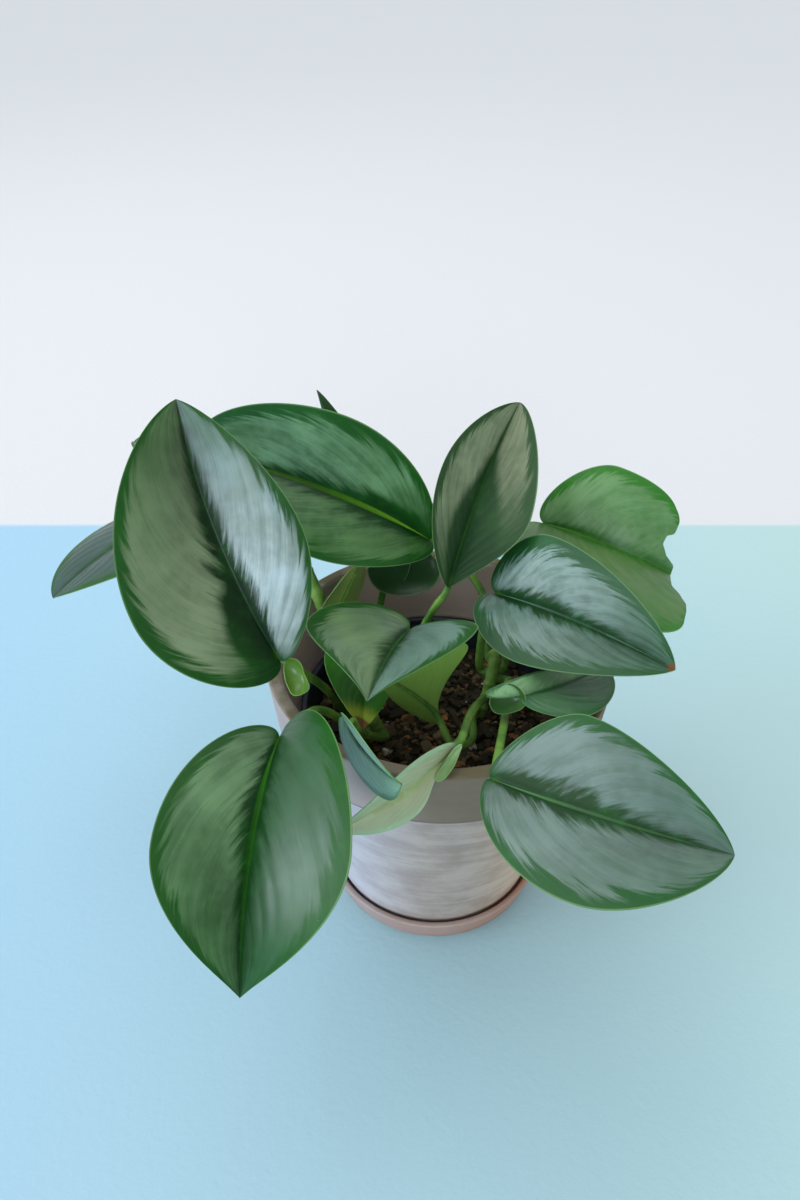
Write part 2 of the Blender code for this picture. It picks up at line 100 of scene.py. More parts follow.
class Finish:
    """One material's nodes. node() adds any node: its type, its settings, then its inputs. A colour
    is three numbers, red, green and blue."""

    def __init__(self, name):
        self.material = bpy.data.materials.new(name)
        self.use(self.material)

    def use(self, holder):
        """Works on the node tree of this material or world, emptied first."""
        holder.use_nodes = True
        self.tree = holder.node_tree
        self.tree.nodes.clear()

    def node(self, kind, settings=None, inputs=None, output=0):
        made = self.tree.nodes.new(kind)
        for key, value in (settings or {}).items():
            setattr(made, key, value)
        for key, value in (inputs or {}).items():
            if isinstance(value, Field):
                self.tree.links.new(value.socket, made.inputs[key])
            elif made.inputs[key].type == "RGBA":
                made.inputs[key].default_value = (*value, 1)
            else:
                made.inputs[key].default_value = value
        return Field(self, made.outputs[output]) if made.outputs else None

    def place(self):
        """The point's own place on the object, in metres."""
        return self.node("ShaderNodeTexCoord", output="Object")

    def parts(self, vector):
        """The x, y and z of a vector, as three fields."""
        split = self.node("ShaderNodeSeparateXYZ", None, {0: vector})
        return [Field(self, split.socket.node.outputs[i]) for i in range(3)]

    def attribute(self, name, output):
        """A value or vector that the mesh holds at each point."""
        return self.node("ShaderNodeAttribute", {"attribute_name": name}, output=output)

    def vector(self, x, y, z):
        return self.node("ShaderNodeCombineXYZ", None, {0: x, 1: y, 2: z})

    def noise(self, vector, scale=1, detail=3, roughness=0.5):
        """Smooth random values about 0.5; scale counts cells per unit of the vector."""
        inputs = {"Vector": vector, "Scale": scale, "Detail": detail, "Roughness": roughness}
        return self.node("ShaderNodeTexNoise", None, inputs)

    def step(self, value, low, high):
        """0 below low, 1 above high, and an S curve between."""
        inputs = {"Value": value, "From Min": low, "From Max": high}
        return self.node("ShaderNodeMapRange", {"interpolation_type": "SMOOTHSTEP"}, inputs)

    def mix(self, factor, first, second):
        """The first colour where factor is 0 and the second where it is 1."""
        inputs = {0: factor, 6: first, 7: second}
        return self.node("ShaderNodeMix", {"data_type": "RGBA"}, inputs, output=2)

    def surface(self, color, roughness, height=None, depth=0, **constants):
        """Ends the material: its colour, roughness, and a bump of this depth in metres."""
        inputs = {"Base Color": color, "Roughness": roughness}
        inputs.update({key.replace("_", " "): value for key, value in constants.items()})
        if height is not None:
            bump = {"Height": height, "Distance": depth, "Strength": 1}
            inputs["Normal"] = self.node("ShaderNodeBump", None, bump)
        shader = self.node("ShaderNodeBsdfPrincipled", None, inputs)
        self.node("ShaderNodeOutputMaterial", None, {"Surface": shader})
        return self.material


def finish_piece(piece, slot, *nodes):
    """Fixes a finished piece to the plant's one body, in place of these CAD nodes."""
    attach(piece, "root")
    if nodes:
        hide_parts(*nodes)
    return piece


def placed(name, data):
    """A new object with this data, in the scene."""
    made = bpy.data.objects.new(name, data)
    bpy.context.scene.collection.objects.link(made)
    return made


def mesh_piece(name, points, faces, material, smooth_angle=40):
    """An object with these points and faces, smooth except over edges sharper than smooth_angle."""
    mesh = bpy.data.meshes.new(name)
    mesh.from_pydata(points.reshape(-1, 3).tolist(), [], faces)
    mesh.materials.append(material)
    mesh.shade_smooth()
    mesh.set_sharp_from_angle(angle=math.radians(smooth_angle))
    return placed(name, mesh)


def rounded(corners, radius, spacing):
    """A closed (radius, height) outline with each corner replaced by a small arc, the quadratic curve
    between points this radius away along both its sides, and long sides divided at this spacing, with
    a point close to each arc so that flat sides stay flat when smoothed."""
    corners = np.array(corners, float)
    before = np.roll(corners, 1, axis=0) - corners
    after = np.roll(corners, -1, axis=0) - corners
    reach_before, reach_after = (
        np.minimum(radius / np.linalg.norm(side, axis=1), 0.45)[:, None] for side in (before, after)
    )
    start = corners + before * reach_before
    end = corners + after * reach_after
    t = np.linspace(0, 1, ARC_POINTS)[:, None, None]
    arcs = (1 - t) ** 2 * start + 2 * t * (1 - t) * corners + t**2 * end
    outline = []
    for i in range(len(corners)):
        outline.append(arcs[:, i])
        side = start[(i + 1) % len(corners)] - end[i]
        length = np.linalg.norm(side)
        share = np.linspace(0, 1, int(length / spacing) + 2)[1:-1]
        if length > 6 * EDGE_HOLD:
            share = np.concatenate([[EDGE_HOLD / length], share, [1 - EDGE_HOLD / length]])
        outline.append(end[i] + side * share[:, None])
    return np.vstack(outline)


def round_angles(count):
    """This many angles, evenly spaced round a circle."""
    return np.linspace(0, 2 * math.pi, count, endpoint=False)


def spun_points(outline, uneven=0, seed=0):
    """An outline turned about the Z axis: point (i, j) is outline point j at angle i. The radius
    wanders by uneven, as three waves round it that shift with height."""
    angle = round_angles(SPIN_SEGMENTS)[:, None]
    radius, height = outline[:, 0][None], outline[:, 1][None]
    phases = np.random.default_rng(seed).uniform(0, 2 * math.pi, 3)
    waves = sum(
        share * np.sin(count * angle + phase + shift * height)
        for share, count, phase, shift in zip((1, 0.6, 0.4), (2, 3, 7), phases, (20, -35, 60))
    )
    radius = radius * (1 + uneven / POT_RIM_RADIUS * waves)
    return np.stack([radius * np.cos(angle), radius * np.sin(angle), height + 0 * angle], axis=-1)


def numbered(rows, columns):
    """The point numbers of a grid, row after row."""
    return np.arange(rows * columns).reshape(rows, columns)


def quads_of(index, close_rows=0, close_columns=0):
    """Quads that join each point of a grid of point numbers to the next in its row and column. They
    face out where rows, then columns, run anticlockwise. close_rows or close_columns is 1 where the
    last row or column is joined on to the first."""
    index = np.pad(index, ((0, close_rows), (0, close_columns)), mode="wrap")
    corners = [index[:-1, :-1], index[1:, :-1], index[1:, 1:], index[:-1, 1:]]
    return np.stack(corners, axis=-1).reshape(-1, 4).tolist()


def pot_clay():
    """Grey-brown clay under a lilac-grey chalky wash: the wash lies in level brushed streaks and soft
    clouds, thinner on the collar. Across the front, painted light and shade make it lighter and more lilac
    at the left, where the window light falls, darker in the middle, where the collar and leaves shade it,
    and warmer at the right. The collar is painted dark brown from its middle rightwards with the leaves'
    shadow, and a painted shade line runs under its overhang. The rim's flat top is olive-brown, and the
    bare clay inside is painted lighter for the light on its back wall."""
    f = Finish("pot_clay")
    place = f.place()
    x, y, z = f.parts(place)
    level = z + 0.6 * MM * f.noise(place, 18, 1, 0.5)
    streaks = f.noise(f.vector(x * 7, y * 7, level * 420), 1, 4, 0.6)
    brushed = f.noise(f.vector(x * 22, y * 22, level * 90), 1, 3, 0.55)
    clouds = f.noise(place, 55, 4, 0.6)
    pits = f.noise(place, FINE_PITS, 2, 0.6)
    # Painted light and shade across the pot: the wash and clay are lighter and lilac at the left, where the
    # window light falls, darker in the middle, where the collar and leaves shade it, and warmer at the
    # right.
    middle, right = f.step(x, -0.045, 0), f.step(x, 0.005, 0.05)
    wash = f.mix(middle, (0.45, 0.435, 0.5), (0.4, 0.33, 0.3))
    wash = f.mix(right, wash, (0.68, 0.47, 0.33))
    clay = f.mix(middle, (0.36, 0.34, 0.39), (0.29, 0.232, 0.205))
    clay = f.mix(right, clay, (0.52, 0.33, 0.22))
    thick = streaks * 0.3 + brushed * 0.45 + clouds * 0.55
    color = f.mix(f.step(thick, 0.52, 0.76), clay, wash)
    collar = f.step(z, COLLAR_BOTTOM - 0.5 * MM, COLLAR_BOTTOM + 0.5 * MM)
    # The collar's thinner wash makes it warmer; from its middle rightwards it is painted dark brown, a
    # painted shadow of the leaves hanging over it.
    collar_clay_and_leaf_shadow = f.mix(middle, (0.37, 0.3, 0.29), (0.135, 0.104, 0.066))
    color = f.mix(collar * 0.82, color, collar_clay_and_leaf_shadow)
    # Painted shade: a soft dark band round the step under the collar's overhang.
    under_collar_shade_foot = f.step(z, COLLAR_BOTTOM - 1.6 * MM, COLLAR_BOTTOM - 0.4 * MM)
    groove = under_collar_shade_foot * f.step(z, COLLAR_BOTTOM + 2.2 * MM, COLLAR_BOTTOM + 1 * MM)
    color = f.mix(groove * 0.6, color, (0.15, 0.12, 0.11))
    # The rim's flat top is darker, olive-brown, more so in patches.
    rim = f.step(z, POT_HEIGHT - 1.2 * MM, POT_HEIGHT - 0.1 * MM)
    color = f.mix(rim * (0.55 + 0.4 * f.step(clouds, 0.4, 0.6)), color, (0.115, 0.095, 0.05))
    lean = (POT_RIM_RADIUS - POT_FOOT_RADIUS) / POT_HEIGHT
    from_axis = (x * x + y * y) ** 0.5 - z * lean - POT_FOOT_RADIUS
    inside = f.step(from_axis, -0.4 * POT_WALL, -0.6 * POT_WALL)
    # The inside is bare pinkish clay, painted lighter still for the light that falls on its back wall.
    color = f.mix(inside * (1 - rim) * 0.8, color, (0.52, 0.385, 0.34))
    color = f.mix(f.step(pits, 0.62, 0.75) * 0.3, color, (0.2, 0.15, 0.13))
    height = streaks * 0.35 + brushed * 0.35 + pits * 0.3 + clouds * 0.2
    return f.surface(color, 0.84 + 0.1 * clouds, height, 0.3 * MM, Specular_IOR_Level=0.3)


body_top = COLLAR_FOOT_RADIUS - COLLAR_STEP
pot_corners = [
    (DRAIN_RADIUS, POT_FOOT_HEIGHT),
    (POT_FOOT_RADIUS, POT_FOOT_HEIGHT),
    (body_top, COLLAR_BOTTOM),
    (COLLAR_FOOT_RADIUS, COLLAR_BOTTOM + 0.2 * MM),
    (POT_RIM_RADIUS, POT_HEIGHT),
    (POT_RIM_RADIUS - POT_WALL, POT_HEIGHT),
    (body_top - POT_WALL, COLLAR_BOTTOM),
    (POT_FOOT_RADIUS - POT_WALL, POT_FLOOR_TOP),
    (DRAIN_RADIUS, POT_FLOOR_TOP),
]
pot_outline = rounded(pot_corners, POT_EDGE_ROUND, OUTLINE_SPACING)
pot_points = spun_points(pot_outline, POT_UNEVEN, seed=3)
pot_faces = quads_of(numbered(SPIN_SEGMENTS, len(pot_outline)), 1, 1)
clay_pot = mesh_piece("terracotta_pot_finished", pot_points, pot_faces, pot_clay(), SPUN_SMOOTH)
finish_piece(clay_pot, "terracotta", "terracotta_pot")

# ---------------------------------------------------------------------------------------------------
# Saucer. A shallow dish of the same terracotta with less wash, so it is rosier, more so at the right.
# It lies on the floor and the pot stands in it, with a dark gap between the two.
# ---------------------------------------------------------------------------------------------------

SAUCER_RADIUS = 50.5 * MM
SAUCER_HEIGHT = 12.3 * MM
SAUCER_WALL = 2.8 * MM
SAUCER_FLOOR = 4 * MM
SAUCER_FLARE = 3.4 * MM
SAUCER_INNER_FLARE = 1.2 * MM
SAUCER_EDGE_ROUND = 1.1 * MM


def saucer_clay():
    """Rosy clay, greyer where the wash has dried, with level wheel lines."""
    f = Finish("saucer_clay")
    place = f.place()
    x, y, z = f.parts(place)
    lines = f.noise(f.vector(x * 10, y * 10, z * 420), 1, 3, 0.6)
    patches = f.noise(place, 45, 4, 0.6)
    pits = f.noise(place, FINE_PITS, 2, 0.6)
    clay = f.mix(f.step(x, -0.045, 0.05), (0.31, 0.235, 0.23), (0.43, 0.215, 0.14))
    washed = f.step(patches * 0.6 + lines * 0.5, 0.45, 0.75) * 0.8
    color = f.mix(washed, clay, (0.37, 0.3, 0.285))
    color = f.mix(f.step(pits, 0.62, 0.75) * 0.3, color, (0.22, 0.12, 0.09))
    height = lines * 0.5 + pits * 0.4
    return f.surface(color, 0.8 + 0.12 * patches, height, 0.3 * MM, Specular_IOR_Level=0.3)


def fan(centre, ring):
    """Triangles from one point to each pair of neighbours round a closed ring of points."""
    return [(centre, a, b) for a, b in zip(ring, ring[1:] + ring[:1])]


def closed_dish(name, outline, material):
    """A dish with no hole: an open outline from the axis under the floor, out and up over the lip, and
    back to the axis inside, turned about Z. Each end on the axis is one point that closes it."""
    turned = spun_points(outline[1:-1])
    points = np.vstack([turned.reshape(-1, 3), [[0, 0, outline[0][1]], [0, 0, outline[-1][1]]]])
    index = numbered(SPIN_SEGMENTS, len(outline) - 2)
    faces = quads_of(index, 1)
    faces += fan(index.size, index[::-1, 0].tolist())
    faces += fan(index.size + 1, index[:, -1].tolist())
    return mesh_piece(name, points, faces, material, SPUN_SMOOTH)


def open_outline(corners, radius, spacing):
    """The rounded outline of a shape that is closed by the axis, started and ended on it."""
    past_axis = -20 * MM
    corners_past = [(past_axis, corners[0][1]), *corners[1:-1], (past_axis, corners[-1][1])]
    outline = rounded(corners_past, radius, spacing)
    inside = outline[outline[:, 0] > 0.5 * MM]
    return np.vstack([corners[0], inside, corners[-1]])


inner = SAUCER_RADIUS - SAUCER_WALL
saucer_corners = [
    (0, 0),
    (SAUCER_RADIUS - SAUCER_FLARE, 0),
    (SAUCER_RADIUS, SAUCER_HEIGHT),
    (inner, SAUCER_HEIGHT),
    (inner - SAUCER_INNER_FLARE, SAUCER_FLOOR),
    (0, SAUCER_FLOOR),
]
saucer_outline = open_outline(saucer_corners, SAUCER_EDGE_ROUND, OUTLINE_SPACING)
saucer = closed_dish("saucer_finished", saucer_outline, saucer_clay())
finish_piece(saucer, "saucer_terracotta", "saucer")

# ---------------------------------------------------------------------------------------------------
# Growing pot. The thin black polypropylene pot that the plant was raised in, with a rolled lip and
# five drain holes. It stands loose inside the clay pot and shows only as a dark ring.
# ---------------------------------------------------------------------------------------------------

NURSERY_LIP_RADIUS = 57.5 * MM
NURSERY_TOP = 101 * MM
NURSERY_FOOT = 12.6 * MM
NURSERY_FOOT_RADIUS = 37 * MM
NURSERY_WALL = 1.1 * MM
NURSERY_LIP_STEP = 1.6 * MM
NURSERY_LIP_DEPTH = 4 * MM
NURSERY_EDGE_ROUND = 0.8 * MM
NURSERY_HOLES = 5
NURSERY_HOLE_RADIUS = 4 * MM
NURSERY_HOLE_RING = 0.68 * NURSERY_FOOT_RADIUS


def black_plastic():
    """Dusty black moulded plastic, blue-black in the light, with fine upright draw lines."""
    f = Finish("black_plastic")
    place = f.place()
    x, y, z = f.parts(place)
    lines = f.noise(f.vector(x * 500, y * 500, z * 12), 1, 2, 0.5)
    dust = f.noise(place, 120, 5, 0.65)
    color = f.mix(f.step(dust, 0.5, 0.8), (0.01, 0.015, 0.03), (0.035, 0.042, 0.062))
    return f.surface(color, 0.32 + 0.3 * dust, lines, 0.08 * MM)


def cut_drain_holes(piece):
    """Cuts the upright round holes, evenly spaced on a ring, through the piece's floor."""
    cutter = bmesh.new()
    for turn in round_angles(NURSERY_HOLES):
        radii = {"radius1": NURSERY_HOLE_RADIUS, "radius2": NURSERY_HOLE_RADIUS}
        made = bmesh.ops.create_cone(cutter, cap_ends=True, segments=32, depth=8 * MM, **radii)
        centre = (NURSERY_HOLE_RING * math.cos(turn), NURSERY_HOLE_RING * math.sin(turn), NURSERY_FOOT)
        bmesh.ops.translate(cutter, verts=made["verts"], vec=centre)
    mesh = bpy.data.meshes.new("drain_cutter")
    cutter.to_mesh(mesh)
    cutter.free()
    tool = placed("drain_cutter", mesh)
    piece.modifiers.new("Drain", "BOOLEAN").object = tool
    graph = bpy.context.evaluated_depsgraph_get()
    piece.data = bpy.data.meshes.new_from_object(piece.evaluated_get(graph))
    piece.modifiers.clear()
    bpy.data.objects.remove(tool)


nursery_corners = [
    (0, NURSERY_FOOT),
    (NURSERY_FOOT_RADIUS, NURSERY_FOOT),
    (NURSERY_LIP_RADIUS - NURSERY_LIP_STEP, NURSERY_TOP - NURSERY_LIP_DEPTH),
    (NURSERY_LIP_RADIUS, NURSERY_TOP - NURSERY_LIP_DEPTH),
    (NURSERY_LIP_RADIUS, NURSERY_TOP),
    (NURSERY_LIP_RADIUS - NURSERY_LIP_STEP - NURSERY_WALL, NURSERY_TOP),
    (NURSERY_FOOT_RADIUS - NURSERY_WALL, NURSERY_FOOT + NURSERY_WALL),
    (0, NURSERY_FOOT + NURSERY_WALL),
]
nursery_outline = open_outline(nursery_corners, NURSERY_EDGE_ROUND, 2 * OUTLINE_SPACING)
nursery_pot = closed_dish("nursery_pot_finished", nursery_outline, black_plastic())
cut_drain_holes(nursery_pot)
finish_piece(nursery_pot, "black_plastic", "nursery_pot")

# ---------------------------------------------------------------------------------------------------
# Potting mix. Damp, near-black peat and composted bark, filled to a little under the growing pot's
# lip and left lumpy. On it lie loose bark chips, mostly dark with some orange-brown, and some perlite.
# ---------------------------------------------------------------------------------------------------

SOIL_FOOT = 14 * MM
SOIL_FOOT_RADIUS = 35.5 * MM
SOIL_TOP = 88 * MM
SOIL_RADIUS = 52.8 * MM
SOIL_EDGE_DROP = 3 * MM
SOIL_LUMP = 2.4 * MM
CHIP_COUNT = 1500
CHIP_LENGTH = 3.1 * MM
PERLITE_COUNT = 26
PERLITE_LENGTH = 2 * MM
CHIP_SMOOTH = 50


def lumps(x, y):
    """Height of the mix over its mean level: waves of five sizes in turned directions, the finest
    folded so that they make crumbs with sharp valleys."""
    rng = np.random.default_rng(11)
    height = 0 * x
    for length, share in ((38, 0.5), (21, 0.45), (11, 0.4), (6, 0.35), (3.2, 0.3)):
        for turn in rng.uniform(0, math.pi, 3):
            along = (x * math.cos(turn) + y * math.sin(turn)) / (length * MM)
            wave = np.sin(along * 6.3 + rng.uniform(0, 6.3))
            height = height + share / 3 * (np.abs(wave) * 2 - 1 if length < 8 else wave)
    return SOIL_LUMP * height


def mix_crumbs():
    """Near-black damp crumbs, browner where they have dried."""
    f = Finish("mix_crumbs")
    place = f.place()
    dry = f.noise(place, 130, 5, 0.7)
    fine = f.noise(place, 900, 4, 0.7)
    color = f.mix(f.step(dry, 0.45, 0.8), (0.02, 0.018, 0.009), (0.115, 0.086, 0.04))
    color = f.mix(f.step(fine, 0.6, 0.85) * 0.3, color, (0.07, 0.038, 0.018))
    return f.surface(color, 0.75 + 0.2 * dry, fine + dry * 2, 1.2 * MM, Specular_IOR_Level=0.25)


soil_rings = np.linspace(0, 1, 60)[1:-1][::-1]
soil_reach = np.concatenate([[SOIL_FOOT_RADIUS, SOIL_RADIUS], SOIL_RADIUS * soil_rings])
soil_level = np.concatenate([[SOIL_FOOT, SOIL_TOP - SOIL_EDGE_DROP], np.full(len(soil_rings), SOIL_TOP)])
soil_outline = np.vstack([[0, SOIL_FOOT], np.stack([soil_reach, soil_level], axis=1), [0, SOIL_TOP]])
potting_mix = closed_dish("potting_mix_finished", soil_outline, mix_crumbs())
soil_points = np.zeros(len(potting_mix.data.vertices) * 3)
potting_mix.data.vertices.foreach_get("co", soil_points)
soil_points = soil_points.reshape(-1, 3)
on_top = soil_points[:, 2] > SOIL_TOP - 1 * MM
soil_points[:, 2] += on_top * lumps(soil_points[:, 0], soil_points[:, 1])
potting_mix.data.vertices.foreach_set("co", soil_points.ravel())
potting_mix.data.update()
finish_piece(potting_mix, "potting_mix", "potting_mix")


def turn_matrices(vectors):
    """A turning matrix for each rotation vector, whose length is the angle and whose line the axis."""
    angle = np.linalg.norm(vectors, axis=1) + 1e-12
    x, y, z = (vectors / angle[:, None]).T
    c = np.cos(angle)
    s = np.sin(angle)
    k = 1 - c
    rows = [
        [c + x * x * k, x * y * k - z * s, x * z * k + y * s],
        [y * x * k + z * s, c + y * y * k, y * z * k - x * s],
        [z * x * k - y * s, z * y * k + x * s, c + z * z * k],
    ]
    return np.stack([np.stack(row, axis=-1) for row in rows], axis=1)


def set_attribute(piece, name, values):
    """Gives each point of the piece its own number, or its own three numbers."""
    kind, key = ("FLOAT", "value") if values.ndim == 1 else ("FLOAT_VECTOR", "vector")
    made = piece.data.attributes.new(name, kind, "POINT")
    made.data.foreach_set(key, values.astype(np.float32).ravel())


def scattered_chips(name, count, size, flat, material, seed):
    """Many small rough blocks in one mesh: an 18-point block with its points moved at random, then
    scaled, turned and set down on the mix. Each point keeps its chip's own tone, from 0 to 1."""
    rng = np.random.default_rng(seed)
    block = bmesh.new()
    bmesh.ops.create_cube(block, size=2)
    bmesh.ops.subdivide_edges(block, edges=block.edges, cuts=1, use_grid_fill=True)
    base = np.array([vert.co for vert in block.verts])
    base = base / np.linalg.norm(base, axis=1)[:, None] ** 0.55
    faces = np.array([[vert.index for vert in face.verts] for face in block.faces])
    block.free()
    reach = (SOIL_RADIUS - 2.5 * MM) * np.sqrt(rng.uniform(0, 1, count))
    turn = rng.uniform(0, 2 * math.pi, count)
    x, y = reach * np.cos(turn), reach * np.sin(turn)
    long = size * rng.lognormal(0, 0.45, count)
    scale = np.stack([long, long * rng.uniform(0.35, 0.8, count), long * rng.uniform(*flat, count)], axis=1)
    local = base[None] * (1 + rng.uniform(-0.22, 0.22, (count, len(base), 3))) * scale[:, None] / 2
    spin, tip = rng.uniform(0, 2 * math.pi, count), rng.normal(0, 0.45, count)
    turned = turn_matrices(spin[:, None] * (0, 0, 1)) @ turn_matrices(tip[:, None] * (0, 1, 0))
    local = np.einsum("nij,nvj->nvi", turned, local)
    lift = SOIL_TOP + lumps(x, y) + long * 0.12
    points = local + np.stack([x, y, lift], axis=1)[:, None]
    every = (faces[None] + (np.arange(count) * len(base))[:, None, None]).reshape(-1, 4)
    piece = mesh_piece(name, points, every.tolist(), material, CHIP_SMOOTH)
    set_attribute(piece, "tone", np.repeat(rng.uniform(0, 1, count), len(base)))
    return piece


def bark():
    """Bark from near black through brown to a few orange-brown chips, with a fibrous grain."""
    f = Finish("bark")
    place = f.place()
    tone = f.attribute("tone", "Fac")
    grain = f.noise(place, 700, 4, 0.7)
    color = f.mix(f.step(tone, 0.35, 0.85), (0.028, 0.024, 0.012), (0.125, 0.086, 0.042))
    color = f.mix(f.step(tone, 0.86, 0.98), color, (0.24, 0.1, 0.034))
    color = f.mix(f.step(grain, 0.55, 0.8) * 0.3, color, (0.11, 0.058, 0.03))
    return f.surface(color, 0.8, grain, 0.5 * MM, Specular_IOR_Level=0.25)


def perlite():
    """Porous white volcanic glass, stained by the mix."""
    f = Finish("perlite")
    pores = f.noise(f.place(), 1400, 3, 0.6)
    color = f.mix(f.step(pores, 0.35, 0.6), (0.22, 0.18, 0.15), (0.62, 0.58, 0.52))
    return f.surface(color, 0.9, pores, 0.4 * MM)


bark_chips = scattered_chips("bark_chips", CHIP_COUNT, CHIP_LENGTH, (0.2, 0.5), bark(), 5)
finish_piece(bark_chips, "potting_mix")
perlite_grains = scattered_chips("perlite_grains", PERLITE_COUNT, PERLITE_LENGTH, (0.6, 0.9), perlite(), 8)
finish_piece(perlite_grains, "potting_mix")

# ---------------------------------------------------------------------------------------------------
# Stems. Stout green climbing stems that come up out of the mix, ringed by a leaf scar at each joint.
# One is long and leans out over the back of the rim. They are rooted in the mix.
# ---------------------------------------------------------------------------------------------------

STEM_RADIUS = 2.9 * MM
STEM_ROOTED = 12 * MM
STEM_SIDES = 28
JOINT_SPACING = 11 * MM
ROOTED_POINTS = 9
CURVE_POINTS = 60
TUBE_SMOOTH = 70

# Each stem's centre line, in mm, from the top of the mix up.
STEMS = {
    "stem_right": [(19, 4, 88), (23, 9, 102), (25, 16, 116)],
    "stem_front": [(-22, -10, 88), (-25, -14, 98), (-27, -17, 108)],
    "stem_centre": [(-8, 8, 88), (-8, 10, 98), (-9, 11, 107)],
    "stem_back": [(-14, 30, 88), (-16, 33, 98), (-18, 36, 108)],
    "stem_trailing": [(-40, 18, 88), (-46, 26, 114), (-53, 34, 137), (-63, 48, 145), (-80, 74, 134)],
}


def through(points):
    """Points, in metres, on the smooth Catmull-Rom curve that passes through these points in mm."""
    points = np.array(points, float) * MM
    padded = np.vstack([2 * points[0] - points[1], points, 2 * points[-1] - points[-2]])
    spans = len(points) - 1
    where = np.linspace(0, spans, CURVE_POINTS)
    index = np.minimum(where.astype(int), spans - 1)
    t = (where - index)[:, None]
    a, b, c, d = (padded[index + k] for k in range(4))
    square = 2 * a - 5 * b + 4 * c - d
    cube = 3 * b - 3 * c + d - a
    return 0.5 * (2 * b + (c - a) * t + square * t**2 + cube * t**3)


def path_length(path):
    """Distance along a path to each of its points."""
    return np.concatenate([[0], np.cumsum(np.linalg.norm(np.diff(path, axis=0), axis=1))])


def read_at(where, places, values):
    """The values, one row for each of these places on a line, read between them at where."""
    return np.stack([np.interp(where, places, column) for column in values.T], axis=-1)


def unit(vectors):
    """The vectors at length 1."""
    return vectors / (np.linalg.norm(vectors, axis=-1, keepdims=True) + 1e-12)


def tube(name, path, radii, sides, material, groove=0):
    """A round tube along a path: at each point the section is a circle of that point's radius, square
    to the path. groove flattens the section's upper side by this part of the radius. Both ends are
    rounded off to one point. The attribute along runs from 0 to 1."""
    tangent = unit(np.gradient(path, axis=0))
    upper = np.array([0, 0, 1]) - tangent * tangent[:, 2:3]
    lean = np.clip(1 - np.abs(tangent[:, 2:3]), 0.02, 1)
    toward = np.array([0.35, -1, 0])
    upper = unit(upper * lean + (toward - tangent * (tangent @ toward)[:, None]) * (1 - lean))
    across = np.cross(tangent, upper)
    turn = round_angles(sides)
    flat = 1 - groove * np.exp(-((turn - math.pi / 2) ** 2) / 0.25)
    ring = np.cos(turn)[:, None] * across[:, None] + np.sin(turn)[:, None] * upper[:, None]
    points = path[:, None] + radii[:, None, None] * flat[:, None] * ring
    index = numbered(len(path), sides)
    faces = quads_of(index, 0, 1)
    faces += fan(index.size, index[0].tolist())
    faces += fan(index.size + 1, index[-1, ::-1].tolist())
    ends = [path[0] - tangent[0] * radii[0] * 0.3, path[-1] + tangent[-1] * radii[-1] * 0.3]
    piece = mesh_piece(name, np.vstack([points.reshape(-1, 3), ends]), faces, material, TUBE_SMOOTH)
    distance = path_length(path)
    set_attribute(piece, "along", np.append(np.repeat(distance / distance[-1], sides), [0, 1]))
    return piece


def stem_skin():
    """Smooth green skin, browner and corky low down, with fine lengthwise lines."""
    f = Finish("stem_skin")
    place = f.place()
    along = f.attribute("along", "Fac")
    patches = f.noise(place, 160, 4, 0.6)
    fine = f.noise(place, 1200, 2, 0.6)
    color = f.mix(f.step(patches, 0.35, 0.7), (0.11, 0.23, 0.04), (0.21, 0.35, 0.07))
    cork = f.step(0.42 - along + 0.3 * patches, 0.2, 0.45)
    color = f.mix(cork, color, (0.12, 0.085, 0.035))
    height = fine + patches
    return f.surface(color, 0.42 + 0.2 * patches, height, 0.15 * MM, Specular_IOR_Level=0.28)


stem_skin_material = stem_skin()
for stem_name, centre_line in STEMS.items():
    upper_path = through(centre_line)
    rooted = np.linspace(upper_path[0] - (0, 0, STEM_ROOTED), upper_path[0], ROOTED_POINTS)[:-1]
    stem_path = np.vstack([rooted, upper_path])
    distance = path_length(stem_path)
    joint = np.abs((distance / JOINT_SPACING) % 1 - 0.5) * JOINT_SPACING
    stem_radii = STEM_RADIUS * (0.9 + 0.13 * np.exp(-((joint / (0.9 * MM)) ** 2)))
    stem_radii *= np.sqrt(np.clip((distance[-1] - distance) / (2 * MM), 0.12, 1))
    stem = tube(f"{stem_name}_finished", stem_path, stem_radii, STEM_SIDES, stem_skin_material)
    finish_piece(stem, "stem_green", stem_name)

# ---------------------------------------------------------------------------------------------------
# Leaf blades. Thick satin leaves, each a drooping sheet folded a little along its midrib. The upper
# side is silver-grey between a dark feathered zone along the midrib and a clear green margin; the
# underside is plain light green, painted lighter on some leaves for the light through or on them and
# near black on one for the shade it lies in. Each grows from the end of its stalk.
# ---------------------------------------------------------------------------------------------------

# The torn end of one blade, on its right half and its left: how far along the half's outline it starts,
# and the tear's own line as (part of the half width, mm along the blade).
TEAR = (
    (0.84, [(0, 63), (0.12, 61), (0.45, 59), (0.62, 62), (0.85, 64), (1, 61)]),
    (0.76, [(0, 63), (0.15, 62), (0.27, 56), (0.44, 52), (0.62, 52), (0.72, 55), (0.96, 55), (1, 53)]),
)

